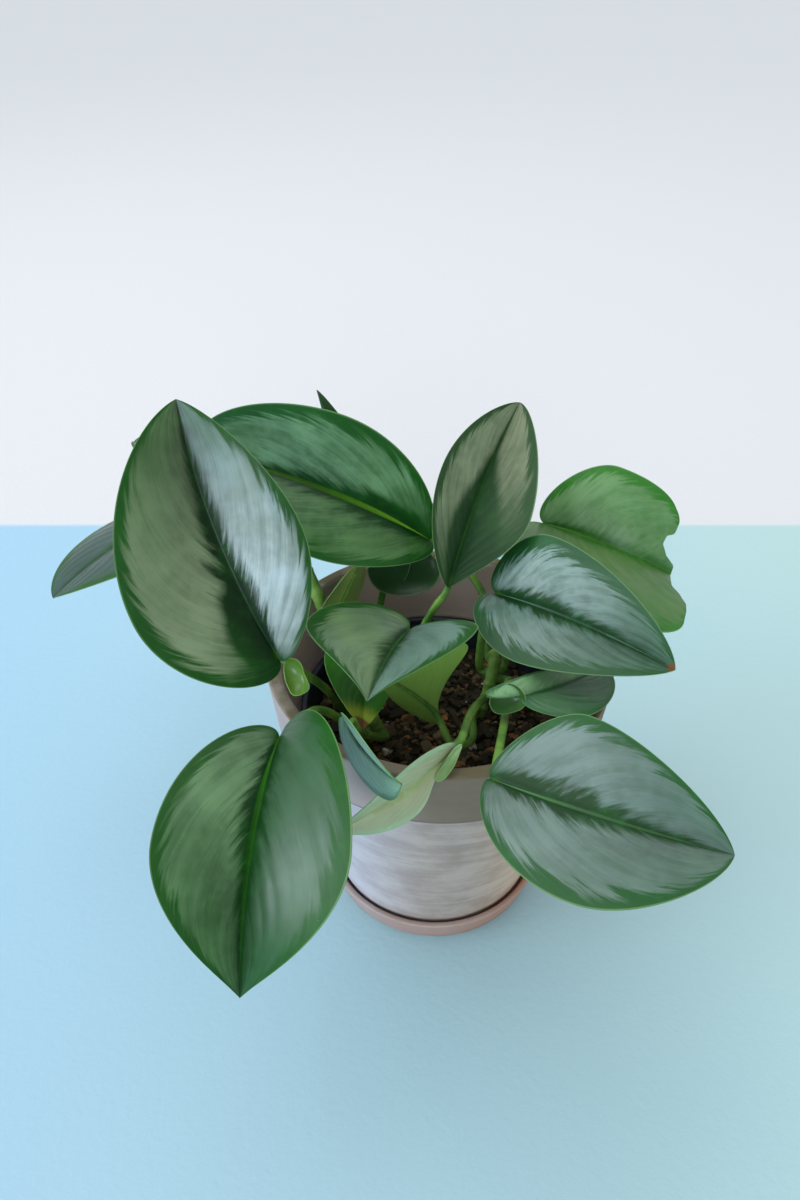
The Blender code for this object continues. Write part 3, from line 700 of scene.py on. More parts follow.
# Each leaf, in mm and degrees. base: where the stalk meets the blade. facing: the midrib's heading and
# rise there, and the right half's tilt down. bend: how far the blade turns down, right and about its
# midrib from base to tip. Of the right half and the left: halves, the widths; wide, how far along the
# widest place is; lobe, the depth of the lobe behind the base; fold, how far the half is raised.
# way: points that the stalk passes through from its stem to the base. The rest is as in USUAL.
LEAVES = {
    "left_tall": dict(
        base=(-59, -33, 152), facing=(158, 60, -37), bend=(10, 23, -7), length=99, halves=(29, 39),
        wide=(0.43, 0.37), lobe=(6, 12), fold=(24, 23),
        way=[(-31, -14, 97), (-38, -13, 106), (-44, -19, 124), (-50, -29, 141)],
        curl=((-52.4, -33.2, 145.2), 6.9, 8.2, 34, 100, 60), silver_left=(0.2, 0.26, 0.14),
        # left_tall's right half is painted bright blue-grey, a painted reflection of the window it faces.
        silver_right=(0.375, 0.462, 0.486), rib_reach=0.24, broken=0.28, base_dark=(1.5, 0.15),
        dark_to=0.45, margin_wide=0.03, margin_fray=0.12, rib_zone=(0.002, 0.018, 0.002), tip_dim=0.7,
        midrib=(0.006, 0.03, 0.005), underside=(0.088, 0.195, 0.02),
    ),
    "back_broad": dict(
        base=(-3, 44, 153), facing=(177, 34, -59), bend=(56, -26, -17), length=119, halves=(39, 29),
        wide=(0.41, 0.38), lobe=(2, 13), fold=(44, 26),
        way=[(23, 24, 106), (23, 38, 122), (13, 48, 136), (2, 45, 149)],
        silver_left=(0.06, 0.145, 0.04), silver_right=(0.125, 0.245, 0.115), rib_reach=0.24,
        broken=0.55, base_dark=(0.3, 0.8), dark_to=0.5, margin_wide=0.04, margin_fray=0.15, glow=0.03,
        midrib=(0.13, 0.29, 0.015),
    ),
    "back_upright": dict(
        base=(4, 17, 148), facing=(71, 37, 1), bend=(5, 11, -4), length=89, halves=(32, 19),
        wide=(0.34, 0.53), lobe=(-1, 2), fold=(40, 41),
        way=[(-5, 14, 96), (-8, 17, 118), (-2, 16, 137)], silver_left=(0.21, 0.26, 0.15),
        silver_right=(0.17, 0.19, 0.11), rib_reach=0.16, broken=0.35, base_dark=(0.8, 1.7), dark_to=0.8,
        margin=(0.012, 0.044, 0.01), rib_zone=(0.008, 0.03, 0.008), silver=0.85, roughness=0.42,
    ),
    "right_torn": dict(
        base=(47, 58, 153), facing=(-38, 6, 25), bend=(78, -27, 2), length=85, halves=(47, 33),
        wide=(0.33, 0.29), lobe=(18, 10), fold=(35, 33),
        way=[(30, 18, 104), (30, 36, 122), (33, 58, 140), (41, 62, 148)], shoulder=0.6, tip_width=0.6,
        tear=TEAR, silver_left=(0.155, 0.285, 0.12), silver_right=(0.095, 0.175, 0.048), rib_reach=0.12,
        broken=0.4, margin=(0.03, 0.15, 0.018), rib_zone=(0.018, 0.1, 0.01), silver=0.85,
        midrib=(0.11, 0.26, 0.04), glow=0.02, margin_wide=0.03, margin_fray=0.15,
    ),
    "right_silver": dict(
        base=(23, 16, 146), facing=(-48, 17, 32), bend=(26, 4, 1), length=82, halves=(28, 28),
        wide=(0.37, 0.24), lobe=(14, 9), fold=(27, 39),
        way=[(19, 14, 106), (18, 12, 120), (20, 14, 136)], shoulder=0.35,
        silver_left=(0.152, 0.226, 0.205), silver_right=(0.098, 0.168, 0.138), rib_reach=0.24,
        broken=0.45, base_dark=(0.3, 0.3), margin_wide=0.07, margin_fray=0.26, tip_dim=0.72,
        margin=(0.01, 0.058, 0.015), midrib=(0.11, 0.16, 0.15), tip_color=(0.12, 0.06, 0.02),
    ),
    "front_right": dict(
        base=(14, -78, 140), facing=(-40, 13, 14), bend=(25, -24, -7), length=80, halves=(35, 34),
        wide=(0.52, 0.28), lobe=(3, 6), fold=(20, 16),
        way=[(31, 9, 104), (28, -8, 118), (25, -30, 126), (19, -60, 134)], shoulder=0.38,
        silver_left=(0.11, 0.172, 0.156), silver_right=(0.112, 0.175, 0.144), rib_reach=0.28,
        broken=0.3, base_dark=(0.5, 0.2), midrib=(0.06, 0.18, 0.05), margin_wide=0.035,
        margin_fray=0.17, tip_dim=0.35, margin=(0.008, 0.068, 0.012),
    ),
    "front_left": dict(
        base=(-58, -58, 139), facing=(-102, -3, 8), bend=(64, -4, -14), length=90, halves=(32, 42),
        wide=(0.48, 0.46), lobe=(9, 22), fold=(39, 38),
        way=[(-28, -20, 98), (-37, -32, 120), (-47, -42, 136)], shoulder=0.38, tip_width=0.26,
        tip_length=0.16, silver_left=(0.026, 0.08, 0.032), silver_right=(0.108, 0.212, 0.088),
        rib_reach=0.22, broken=0.4, midrib=(0.04, 0.17, 0.012), glow=0.02, margin_wide=0.04,
        margin_fray=0.14, tip_dim=0.65,
    ),
    "centre_folded": dict(
        base=(-12, -1, 141), facing=(-109, 22, 4), bend=(24, -4, -4), length=55, halves=(33, 32),
        wide=(0.52, 0.25), lobe=(23, 2), fold=(29, 28), way=[(-1, 9, 98), (0, 10, 112), (-6, 9, 128)],
        shoulder=0.5, tip_width=0.3, tip_length=0.18, silver_left=(0.13, 0.21, 0.175),
        silver_right=(0.135, 0.222, 0.094), rib_reach=0.13, broken=0.25, silver=0.9, roughness=0.4,
    ),
    "right_small": dict(
        base=(31, -38, 140), facing=(26, -8, 15), bend=(10, -20, -13), length=41, halves=(19, 8),
        wide=(0.36, 0.2), lobe=(12, 37), fold=(24, 18),
        way=[(31, 6, 97), (38, -10, 112), (35, -28, 131)],
        curl=((24, -37.6, 137.8), 8.4, 6.4, 18, 70, 60), silver_left=(0.18, 0.34, 0.16),
        silver_right=(0.022, 0.088, 0.04), rib_reach=0.05, broken=0.3, margin_wide=0.02,
        margin_fray=0.08, margin=(0.025, 0.1, 0.03), rib_zone=(0.015, 0.07, 0.018), silver=0.9,
        underside=(0.036, 0.11, 0.022),
    ),
    "far_left": dict(
        base=(-109, 78, 149), facing=(214, -1, 19), bend=(26, -6, -4), length=76, halves=(33, 37),
        wide=(0.4, 0.41), lobe=(16, 16), fold=(10, 7),
        way=[(-86, 77, 137), (-93, 73, 138), (-102, 74, 143)], silver_left=(0.022, 0.06, 0.055),
        silver_right=(0.022, 0.06, 0.055), rib_reach=0.12, broken=0.3,
    ),
    "front_narrow": dict(
        base=(-35, -58, 147), facing=(-68, 3, 88), bend=(14, -12, 12), length=41, halves=(13, 13),
        wide=(0.45, 0.5), lobe=(10, 4), fold=(20, 23),
        way=[(-22, -19, 98), (-28, -37, 118), (-31, -52, 136)], shoulder=0.6, tip_width=0.6,
        tip_length=0.04, rib=0.45, silver_left=(0.15, 0.29, 0.2), silver_right=(0.15, 0.28, 0.19),
        rib_reach=0.06, broken=0.25, margin=(0.06, 0.16, 0.09),
    ),
    "young_pale": dict(
        base=(3, -62, 136), facing=(-133, -12, -57), bend=(37, 2, -29), length=50, halves=(12, 10),
        wide=(0.41, 0.56), lobe=(6, -17), fold=(31, 24),
        way=[(23, 0, 98), (19, -10, 112), (11, -34, 126), (6, -55, 134)],
        curl=((0.7, -66.2, 134.8), 3, 7.8, -44, 100, 20), silver_left=(0.37, 0.39, 0.23),
        silver_right=(0.35, 0.38, 0.21), margin=(0.3, 0.43, 0.26), rib_zone=(0.29, 0.35, 0.15),
        midrib=(0.33, 0.38, 0.19), broken=0.4, underside=(0.19, 0.31, 0.11),
    ),
    "inner_cupped": dict(
        base=(0, -19, 112), facing=(178, 51, 89), bend=(18, 8, -11), length=36, halves=(12, 28),
        wide=(0.33, 0.36), lobe=(16, -10), fold=(20, 37),
        # inner_cupped's underside is painted bright green, painted light for the light shining through it
        # in the shade under the other leaves.
        way=[(15, 0, 95), (14, -19, 97), (5, -29, 104)], silver=0.3, underside=(0.215, 0.4, 0.075),
    ),
    "inner_spotted": dict(
        base=(-26, 19, 112), facing=(-100, 11, -11), bend=(5, -13, -5), length=54, halves=(21, 11),
        wide=(0.38, 0.37), lobe=(16, 16), fold=(28, 24),
        way=[(-14, 14, 96), (-19, 19, 102), (-24, 21, 107)], silver=0.1, margin=(0.03, 0.15, 0.01),
        rib_zone=(0.02, 0.11, 0.006), roughness=0.5, tip_color=(0.19, 0.085, 0.035), tip_from=0.9,
        tip_ring=(0.33, 0.42, 0.04),
    ),
    "back_small": dict(
        base=(-44, 25, 128), facing=(40, 56, -70), bend=(2, 11, 15), length=24, halves=(17, 17),
        wide=(0.55, 0.5), lobe=(16, 13), fold=(12, 3),
        way=[(-21, 31, 98), (-30, 31, 108), (-38, 24, 120)], shoulder=0.6, tip_width=0.75, silver=0.3,
        # back_small's underside is painted pale yellow-green, painted light for the light shining through
        # it.
        underside=(0.3, 0.43, 0.12),
    ),
    "back_tall": dict(
        base=(-19, 45, 133), facing=(122, 50, 94), bend=(8, -6, 2), length=87, halves=(16, 18),
        wide=(0.24, 0.26), lobe=(6, 12), fold=(1, 33),
        way=[(-21, 38, 98), (-25, 41, 110), (-24, 42, 123)],
        curl=((-13.6, 45.8, 136.4), 18, 13.2, 4, 50, 40), shoulder=0.12, tip_width=0.2, silver=0.5,
        # back_tall's underside is painted near black, a painted shadow for the shade of the leaves above
        # it.
        underside=(0.01, 0.046, 0.009),
    ),
    "far_back": dict(
        base=(-95, 128, 130), facing=(153, 18, 0), bend=(22, 0, 0), length=72, halves=(26, 26),
        wide=(0.38, 0.38), lobe=(14, 14), fold=(25, 25),
        way=[(-83, 86, 132), (-87, 104, 127), (-92, 120, 123)], silver=0.6,
    ),
}

# What a leaf has unless its own entry says otherwise. shoulder: how far the sides run on past the widest
# place; tip_width and tip_length: the tip's, all three as parts. rib: the midrib's thickness against the
# others'. tear: a torn end. curl: an end of the blade that has curled over and shows its underside, as
# curled_end takes it. rib_reach: how far out the feathered zone along the midrib runs, as a part of the
# half width; base_dark: how far it spreads near the base, on the left half and the right, where above 0.6
# it turns towards near black as painted shade, and dark_to: how far along the leaf that lasts. margin_wide
# and margin_fray: the margin's least width, and its fringe's. glow: how much the midrib widens at the
# base. silver: how strong the silver is; broken: how much of it is broken up; tip_dim: how much it fades
# at the tip, a painted sheen that leaves it brightest near the base. tip_from: where along the leaf a
# dried tip starts, if it has a tip_color; tip_ring: the paler ring before it. silver_left and
# silver_right: each half's silver colour, with painted sheen and shade for how the light falls on it.
USUAL = dict(
    shoulder=0.45, tip_width=0.42, tip_length=0.06, rib=1, tear=None, curl=None,
    silver_left=(0.095, 0.18, 0.085), silver_right=(0.095, 0.18, 0.1), margin=(0.008, 0.062, 0.006),
    rib_zone=(0.003, 0.03, 0.004), midrib=(0.03, 0.11, 0.012), underside=(0.09, 0.23, 0.035),
    rib_reach=0.22, base_dark=(0.15, 0.15), dark_to=0.35, margin_wide=0.05, margin_fray=0.13, glow=0,
    silver=1, broken=0.5, tip_dim=0.15, tip_from=0.965, tip_color=None, tip_ring=None, roughness=0.34,
)

BLADE_ROWS = 110
HALF_COLUMNS = 26
COLUMN_CROWDING = 1.1
BLADE_FLATTENING = -20
LOBE_PART = 0.45
VEIN_SPACING = 1.15
VEIN_LEAN = 0.5
VEIN_COUNT = 9
PUCKER = 0.22
RIB_GROOVE = 0.5
RIB_HALF_WIDTH = 1.1
BLADE_THICK = 0.55
EDGE_THICK = 0.3
BLADE_SMOOTH = 75
MIDRIB_FROM = -0.4
MIDRIB_STEPS = 141
CURL_RINGS = 12
CURL_SEGMENTS = 48
CURL_TOWARD = np.array([0, -0.72, 0.69])

# Where a curled end's pattern starts, as a blade's attribute leaf, and how much of it a metre takes up.
CURL_PATTERN = np.array([0.5, 0.5, 0.3])
CURL_PATTERN_SCALE = 12

# The share of the blade's length at each row, and of the half width at each point out from the midrib.
ROW_SHARES = np.linspace(0, 1, BLADE_ROWS)
OUT_SHARES = np.linspace(0, 1, HALF_COLUMNS + 1) ** COLUMN_CROWDING


def bezier(points, t):
    """Points on the cubic curve with these four control points."""
    a, b, c, d = np.array(points, float)
    t = t[:, None]
    return (1 - t) ** 3 * a + 3 * (1 - t) ** 2 * t * b + 3 * (1 - t) * t**2 * c + t**3 * d


def half_outline(leaf, side, t):
    """One half of the flat blade's edge, as (distance from the midrib, distance along it): from the base
    round the lobe to the widest place, then to the tip. side is 1 for the right half, -1 for the left."""
    width, lobe, wide = (pair[side < 0] for pair in (leaf.halves, leaf.lobe, leaf.wide))
    widest = wide * leaf.length
    round_lobe = [(0, 0), (0.12 * width, -lobe), (width, 0.4 * widest - 0.24 * lobe), (width, widest)]
    to_tip = [
        (width, widest),
        (width, widest + leaf.shoulder * (leaf.length - widest)),
        (leaf.tip_width * width, leaf.length * (1 - leaf.tip_length)),
        (0, leaf.length),
    ]
    first = bezier(round_lobe, np.clip(t / LOBE_PART, 0, 1))
    second = bezier(to_tip, np.clip((t - LOBE_PART) / (1 - LOBE_PART), 0, 1))
    return np.where((t < LOBE_PART)[:, None], first, second)


def flat_half(leaf, side):
    """A half blade laid flat, as rows of points from the midrib out to the edge: row i runs straight
    from a point on the midrib to the edge's own point, and a torn end follows the tear's line."""
    t, rib_end = ROW_SHARES, leaf.length
    if leaf.tear:
        start, tear = leaf.tear[side < 0]
        t, rib_end = t * start, tear[0][1]
    edge = half_outline(leaf, side, t)
    rib = np.stack([0 * t, rib_end * ROW_SHARES**VEIN_SPACING], axis=1)
    out = OUT_SHARES[None, :, None]
    rows = rib[:, None] * (1 - out) + edge[:, None] * out
    if leaf.tear:
        near_tear = ROW_SHARES[:, None] ** 4
        rows[:, :, 1] += near_tear * (np.interp(OUT_SHARES, *np.transpose(tear)) - rows[-1, :, 1])
    return rows


def base_frame(leaf):
    """The unit vectors along the midrib, to the right and out of the upper face, at the blade's base."""
    heading, rise, roll = np.radians(leaf.facing)
    along = np.array([np.cos(heading) * np.cos(rise), np.sin(heading) * np.cos(rise), np.sin(rise)])
    level = np.array([np.sin(heading), -np.cos(heading), 0])
    above = np.cross(level, along)
    right = level * np.cos(roll) - above * np.sin(roll)
    return along, right, above * np.cos(roll) + level * np.sin(roll)


def vein_place(row, out):
    """Where the vein through a point leaves the midrib, 0 at the base and 1 at the tip: a vein runs
    outwards and on towards the tip, so it is the row less a share that grows with the way out."""
    return row - VEIN_LEAN * out**1.15


def bent_half(leaf, side):
    """One half of the upper face and its outward direction, in metres. The midrib's line turns evenly,
    from MIDRIB_FROM behind the base, for the lobes, to the tip. Across it, the section's angle starts at
    the fold and flattens by BLADE_FLATTENING towards the edge; the section is the running sum of that
    angle's cos and sin, with a groove over the midrib and the surface puckered between the veins."""
    flat = flat_half(leaf, side)
    along, right, above = base_frame(leaf)
    droop, sway, twist = np.radians(leaf.bend)
    steps = np.linspace(MIDRIB_FROM, 1, MIDRIB_STEPS) * leaf.length
    vectors = (steps / leaf.length)[:, None] * (twist * along - droop * right - sway * above)
    frames = turn_matrices(vectors) @ np.stack([along, right, above], axis=1)
    line = np.zeros((len(steps), 3))
    line[1:] = np.cumsum(np.diff(steps)[:, None] * (frames[1:, :, 0] + frames[:-1, :, 0]) / 2, axis=0)
    line -= read_at(0, steps, line)
    x, y = flat[..., 0], flat[..., 1]
    row, out = ROW_SHARES[:, None], OUT_SHARES[None]
    fold, half_width = leaf.fold[side < 0], leaf.halves[side < 0]
    angle = np.radians(fold + BLADE_FLATTENING * x / half_width)
    middle_angle = (angle[:, 1:] + angle[:, :-1]) / 2
    width = np.diff(x, axis=1)
    across, raised = (
        np.hstack([0 * row, np.cumsum(width * share, axis=1)])
        for share in (np.cos(middle_angle), np.sin(middle_angle))
    )
    raised = raised - RIB_GROOVE * np.exp(-((x / RIB_HALF_WIDTH) ** 2)) * (1 - 0.7 * row)
    pucker = np.abs(np.sin(math.pi * VEIN_COUNT * vein_place(row, out))) ** 0.7 - 0.6
    raised = raised + PUCKER * pucker * out * (1 - out) * 4 * np.minimum(1, x / 6)
    on_line, rightward, upward = (
        read_at(y, steps, values) for values in (line, frames[:, :, 1], frames[:, :, 2])
    )
    place = on_line + side * across[..., None] * rightward + raised[..., None] * upward
    normal = np.cos(angle)[..., None] * upward - side * np.sin(angle)[..., None] * rightward
    return (place + np.array(leaf.base)) * MM, normal


def blade_faces(rows, columns, torn):
    """Quads of the upper face, the under face and the edge between them. Every point of the first row is
    one point, and of the last row too unless it is torn, so the quads there close up as triangles."""
    index = numbered(rows, columns)
    index[0] = index[0, columns // 2]
    if not torn:
        index[-1] = index[-1, columns // 2]
    both = np.stack([index, index + rows * columns], axis=-1)
    quads = quads_of(both[..., 0].T) + quads_of(both[..., 1])
    quads += quads_of(both[:, 0]) + quads_of(both[::-1, -1])
    if torn:
        quads += quads_of(both[-1])
    return [list(dict.fromkeys(quad)) for quad in quads if len(set(quad)) > 2]


def curled_end(middle, half_width, half_length, turn, bend_wide, bend_long):
    """A cupped oval sheet that faces up and forward: rings of points out from its middle, bent along an
    arc across and along another down, so that its rim comes forward, and narrower towards its top, where
    it joins the blade. middle and the half sizes are in mm, turn is its turn in the view from the front,
    and bend_wide and bend_long are the angles of the arcs. Returns the points of both layers, the faces,
    and how far out each point lies."""
    turn, wide, long = np.radians((turn, bend_wide, bend_long))
    across = np.array([np.cos(turn), 0, np.sin(turn)])
    facing = unit(CURL_TOWARD - across * (across @ CURL_TOWARD))
    down = np.cross(across, facing)
    rings = np.linspace(0, 1, CURL_RINGS + 1)[1:, None]
    angle = round_angles(CURL_SEGMENTS)[None]
    x, y, out = (
        np.append(0, rings * share)[:, None] for share in (np.cos(angle), np.sin(angle), 1 + 0 * angle)
    )
    x = x * (1 - 0.5 * np.clip(-y, 0, 1) ** 0.8)
    offset = (across * np.sin(wide * x) + facing * (1 - np.cos(wide * x))) / wide * half_width
    offset += (down * np.sin(long * y) + facing * (1 - np.cos(long * y))) / long * half_length
    normal = facing * np.cos(wide * x) * np.cos(long * y)
    normal = unit(normal - across * np.sin(wide * x) - down * np.sin(long * y))
    front = np.array(middle) + offset
    ring = 1 + numbered(CURL_RINGS, CURL_SEGMENTS)
    near = fan(0, ring[0].tolist()) + quads_of(ring, 0, 1)
    far = [[point + len(front) for point in reversed(face)] for face in near]
    edge = quads_of(np.stack([ring[-1], ring[-1] + len(front)]), 0, 1)
    points = np.vstack([front, front - normal * EDGE_THICK]) * MM
    return points, near + far + edge, np.tile(out[:, 0], 2)


def drop_loose_points(piece):
    """Removes the points that no face uses, where a row has closed to one point."""
    body = bmesh.new()
    body.from_mesh(piece.data)
    bmesh.ops.delete(body, geom=[vert for vert in body.verts if not vert.link_faces], context="VERTS")
    body.to_mesh(piece.data)
    body.free()


def both_halves(left, right):
    """Rows from the left edge over the midrib to the right edge, from two halves that start on it."""
    return np.concatenate([left[:, :0:-1], right], axis=1)


def blade(name, leaf, material):
    """A leaf blade as one closed sheet, thickest at the midrib. Its attribute leaf holds the signed part
    of the half width, the part of the length, and the vein's place; flat holds the flat blade's own
    x and y in metres; under is 1 on the lower face and on a curled end."""
    (right, right_normal), (left, left_normal) = bent_half(leaf, 1), bent_half(leaf, -1)
    grid = both_halves(left, right)
    normal = unit(both_halves(left_normal, right_normal))
    rows, columns = grid.shape[:2]
    normal[:, columns // 2] = unit(left_normal[:, 0] + right_normal[:, 0])
    grid[0] = grid[0, columns // 2]
    row = ROW_SHARES[:, None] + np.zeros(columns)
    signed = both_halves(-OUT_SHARES[None], OUT_SHARES[None]) + np.zeros((rows, 1))
    thick = (EDGE_THICK + (BLADE_THICK - EDGE_THICK) * (1 - np.abs(signed)) ** 0.5) * MM
    layers = [grid, grid - normal * thick[..., None]]
    faces = blade_faces(rows, columns, leaf.tear)
    place = np.stack([signed, row, vein_place(row, np.abs(signed))], axis=-1)
    flat = both_halves(flat_half(leaf, -1) * (-1, 1), flat_half(leaf, 1)) * MM
    flat = np.concatenate([flat, 0 * flat[..., :1]], axis=-1)
    places, flats, unders = [place, place], [flat, flat], [0 * signed, 1 + 0 * signed]
    if leaf.curl:
        curl_points, curl_faces, out = curled_end(*leaf.curl)
        faces += [[point + 2 * signed.size for point in face] for face in curl_faces]
        curl_place = CURL_PATTERN + (curl_points - curl_points[0]) * CURL_PATTERN_SCALE
        curl_place[:, 0] = 0.4 + 0.6 * out
        layers.append(curl_points)
        places.append(curl_place)
        flats.append(curl_points)
        unders.append(1 + 0 * out)
    points, places, flats = (
        np.vstack([part.reshape(-1, 3) for part in parts]) for parts in (layers, places, flats)
    )
    piece = mesh_piece(f"blade_{name}_finished", points, faces, material, BLADE_SMOOTH)
    set_attribute(piece, "leaf", places)
    set_attribute(piece, "flat", flats)
    set_attribute(piece, "under", np.concatenate([part.ravel() for part in unders]))
    drop_loose_points(piece)
    return piece


def shade(color, factor):
    """A colour this many times as bright."""
    return [factor * part for part in color]


def leaf_surface(name, leaf):
    """Satin leaf. Silver lies between a line near the midrib and one near the margin; both lines are
    frayed by noise drawn out along the veins, and the silver itself comes and goes in long strokes along
    them. Each half's silver colour holds painted sheen and shade, the silver fades towards the tip as a
    painted sheen, and the dark zone at the base deepens to near black as painted shade. The midrib and the
    base are yellower, the edge is a thin pale line, and the underside is plain, except where its colour is
    painted lighter or darker for the light on it."""
    f = Finish(f"leaf_{name}")
    seed = float(sum(map(ord, name)) % 97)
    signed, row, vein = f.parts(f.attribute("leaf", "Vector"))
    flat = f.attribute("flat", "Vector")
    under = f.attribute("under", "Fac")
    out = f.node("ShaderNodeMath", {"operation": "ABSOLUTE"}, {0: signed})
    right_side = f.step(signed, -0.001, 0.001)
    lane = right_side * 13 + seed
    feather = f.noise(f.vector(vein * 26, out * 3, lane), 1, 5, 0.62)
    margin_feather = f.noise(f.vector(vein * 30, out * 4, lane + 5), 1, 4, 0.6)
    lines = f.noise(f.vector(vein * 75, out * 2.6, lane), 1, 3, 0.6)
    strokes = f.noise(f.vector(vein * 14, out * 3.2, lane + 9), 1, 4, 0.6)
    broad = f.noise(flat, 38, 3, 0.5)
    mottle = f.noise(flat, 170, 4, 0.6)

    # Where the silver is.
    left_dark, right_dark = leaf.base_dark
    dark_here = f.step(row + 0.25 * feather + 0.2 * broad - 0.22, leaf.dark_to, 0)
    dark = dark_here * (left_dark + (right_dark - left_dark) * right_side)
    taper = 0.25 + 0.85 * f.step(row, 1.1, 0.1)
    inner = (feather - 0.34) * (2.8 * leaf.rib_reach) * taper + 0.02 + dark * 0.6
    fringe = f.step(margin_feather, 0.36, 0.7) * leaf.margin_fray
    outer = 1 - leaf.margin_wide - fringe - 0.06 * broad
    band = f.step(out - inner, -0.05, 0.15) * f.step(outer - out, -0.04, 0.09)
    worn_off = strokes * 0.5 + mottle * 0.25 + lines * 0.15 + broad * 0.3
    patchy = 1 - leaf.broken * f.step(worn_off, 0.66, 0.48)
    silver = band * f.step(row, 0.02, 0.16) * patchy * leaf.silver * (1 - 0.95 * f.step(dark, 0, 1))
    # Painted sheen: the silver fades towards the tip, so that it is brightest near the base, where the
    # window's sheen falls.
    silver = silver * (1 - leaf.tip_dim * f.step(row, 0.35, 0.9))

    # The colours of the silver, the green under it, the midrib and the base.
    # Painted sheen and shade: each half has its own silver colour, lighter and bluer where that half faces
    # the windows, darker where it faces away or lies in shade.
    silver_color = f.mix(right_side, leaf.silver_left, leaf.silver_right)
    pale = f.mix(right_side, shade(leaf.silver_left, 1.25), shade(leaf.silver_right, 1.25))
    silver_color = f.mix(f.step(lines, 0.45, 0.75) * 0.45, silver_color, pale)
    silver_color = f.mix(f.step(broad, 0.62, 0.38) * 0.45, silver_color, shade(leaf.silver_left, 0.6))
    green = f.mix(f.step(out, 0.1, 0.75), leaf.rib_zone, leaf.margin)
    lighter = f.step(mottle * 0.6 + broad * 0.5, 0.5, 0.75) * 0.4
    green = f.mix(lighter, green, shade(leaf.margin, 1.8))
    # Painted shade: where base_dark is high, the green near the base turns near black, for the shadow that
    # the leaf's base lies in.
    green = f.mix(f.step(dark, 0.6, 1.4) * 0.6, green, (0.001, 0.014, 0.002))
    color = f.mix(silver, green, silver_color)
    base_glow = f.step(row, 0.55, 0)
    rib = f.step(out - leaf.glow * base_glow, 0.03 + leaf.glow, 0.01)
    color = f.mix(rib * (0.22 + 0.75 * base_glow), color, leaf.midrib)
    color = f.mix(f.step(row, 0.12, 0) * f.step(out, 0.6, 0.05) * 0.5, color, (0.06, 0.2, 0.012))
    specks = f.noise(flat, 900, 1, 0.5)
    color = f.mix(f.step(specks, 0.79, 0.83) * 0.4, color, (0.28, 0.28, 0.16))
    if leaf.tip_color:
        worn = row + 0.05 * mottle - 0.025
        if leaf.tip_ring:
            color = f.mix(f.step(worn, leaf.tip_from - 0.16, leaf.tip_from - 0.02), color, leaf.tip_ring)
        color = f.mix(f.step(worn, leaf.tip_from - 0.01, leaf.tip_from + 0.01), color, leaf.tip_color)

    # The underside, the edge's line, and the relief.
    dull = f.step(lines * 0.6 + broad * 0.4, 0.35, 0.65) * 0.6
    color = f.mix(under, color, f.mix(dull, leaf.underside, shade(leaf.underside, 0.72)))
    color = f.mix(f.step(out, 0.982, 0.994) * 0.36, color, (0.22, 0.36, 0.14))
    ridge = f.node("ShaderNodeMath", {"operation": "PINGPONG"}, {0: vein * float(VEIN_COUNT), 1: 0.5})
    height = lines * 0.3 + f.step(ridge, 0, 0.18) * 0.25 + mottle * 0.3 + broad * 5
    roughness = leaf.roughness + 0.12 * mottle + 0.1 * under + 0.06 * silver
    coat = {"Coat_Weight": 0.14 + silver * 0.45 + under * 0.2, "Coat_Roughness": 0.24}
    return f.surface(color, roughness, height, 0.12 * MM, Specular_IOR_Level=0.15, **coat)


leaves = {name: SimpleNamespace(**{**USUAL, **own}) for name, own in LEAVES.items()}
for leaf_name, leaf in leaves.items():
    leaf_blade = blade(leaf_name, leaf, leaf_surface(leaf_name, leaf))
    leaf_slot = "young_leaf_green" if leaf_name == "young_pale" else "leaf_green"
    finish_piece(leaf_blade, leaf_slot, f"blade_{leaf_name}")

# ---------------------------------------------------------------------------------------------------
# Leaf stalks. Each springs from beside its stem and carries one blade. It is a firm green stalk with a
# shallow groove, and runs on under the blade as a raised midrib that thins towards the tip.
# ---------------------------------------------------------------------------------------------------

STALK_RADIUS = 1.9
STALK_END_RADIUS = 1.45
STALK_BELOW = 2.9
STALK_SIDES = 20
STALK_GROOVE = 0.18
RIB_START = 0.07
RIB_KNOTS = 44
STALK_POINTS = 110
RIB_PART = 0.86
RIB_END_RADIUS = 0.35
SMOOTHING_PASSES = 6


def stalk(name, leaf, material):
    """The stalk from beside its stem to the blade's base, then on along the underside of the midrib: both
    lines are joined, averaged with their neighbours a few times, and divided evenly."""
    right, right_normal = bent_half(leaf, 1)
    rib, rib_up = right[:, 0], unit(right_normal[:, 0] + bent_half(leaf, -1)[1][:, 0])
    stem_points = np.vstack([through(line) for line in STEMS.values()]) / MM
    nearest = stem_points[np.argmin(np.linalg.norm(stem_points - leaf.way[0], axis=1))]
    below_base = leaf.base - base_frame(leaf)[2] * STALK_BELOW
    free = through(np.vstack([nearest, leaf.way, below_base]))
    free_radii = np.linspace(STALK_RADIUS, STALK_END_RADIUS, len(free)) * MM
    share = np.linspace(RIB_START, RIB_PART, RIB_KNOTS)
    index = (share * (len(rib) - 1)).astype(int)
    rib_radii = STALK_END_RADIUS * (1 - share) ** 0.8 * 0.8 + RIB_END_RADIUS * share
    rib_radii = rib_radii * MM * leaf.rib
    attached = rib[index] - rib_up[index] * (rib_radii * 0.75 + BLADE_THICK * MM)[:, None]
    knots = np.vstack([free[:-2], attached[1:]])
    radii = np.concatenate([free_radii[:-2], rib_radii[1:]])
    for _ in range(SMOOTHING_PASSES):
        for values in (knots, radii):
            values[1:-1] = (values[:-2] + 2 * values[1:-1] + values[2:]) / 4
    distance = path_length(knots)
    even = np.linspace(0, distance[-1], STALK_POINTS)
    path, radii = read_at(even, distance, knots), np.interp(even, distance, radii)
    return tube(f"stalk_{name}_finished", path, radii, STALK_SIDES, material, STALK_GROOVE)


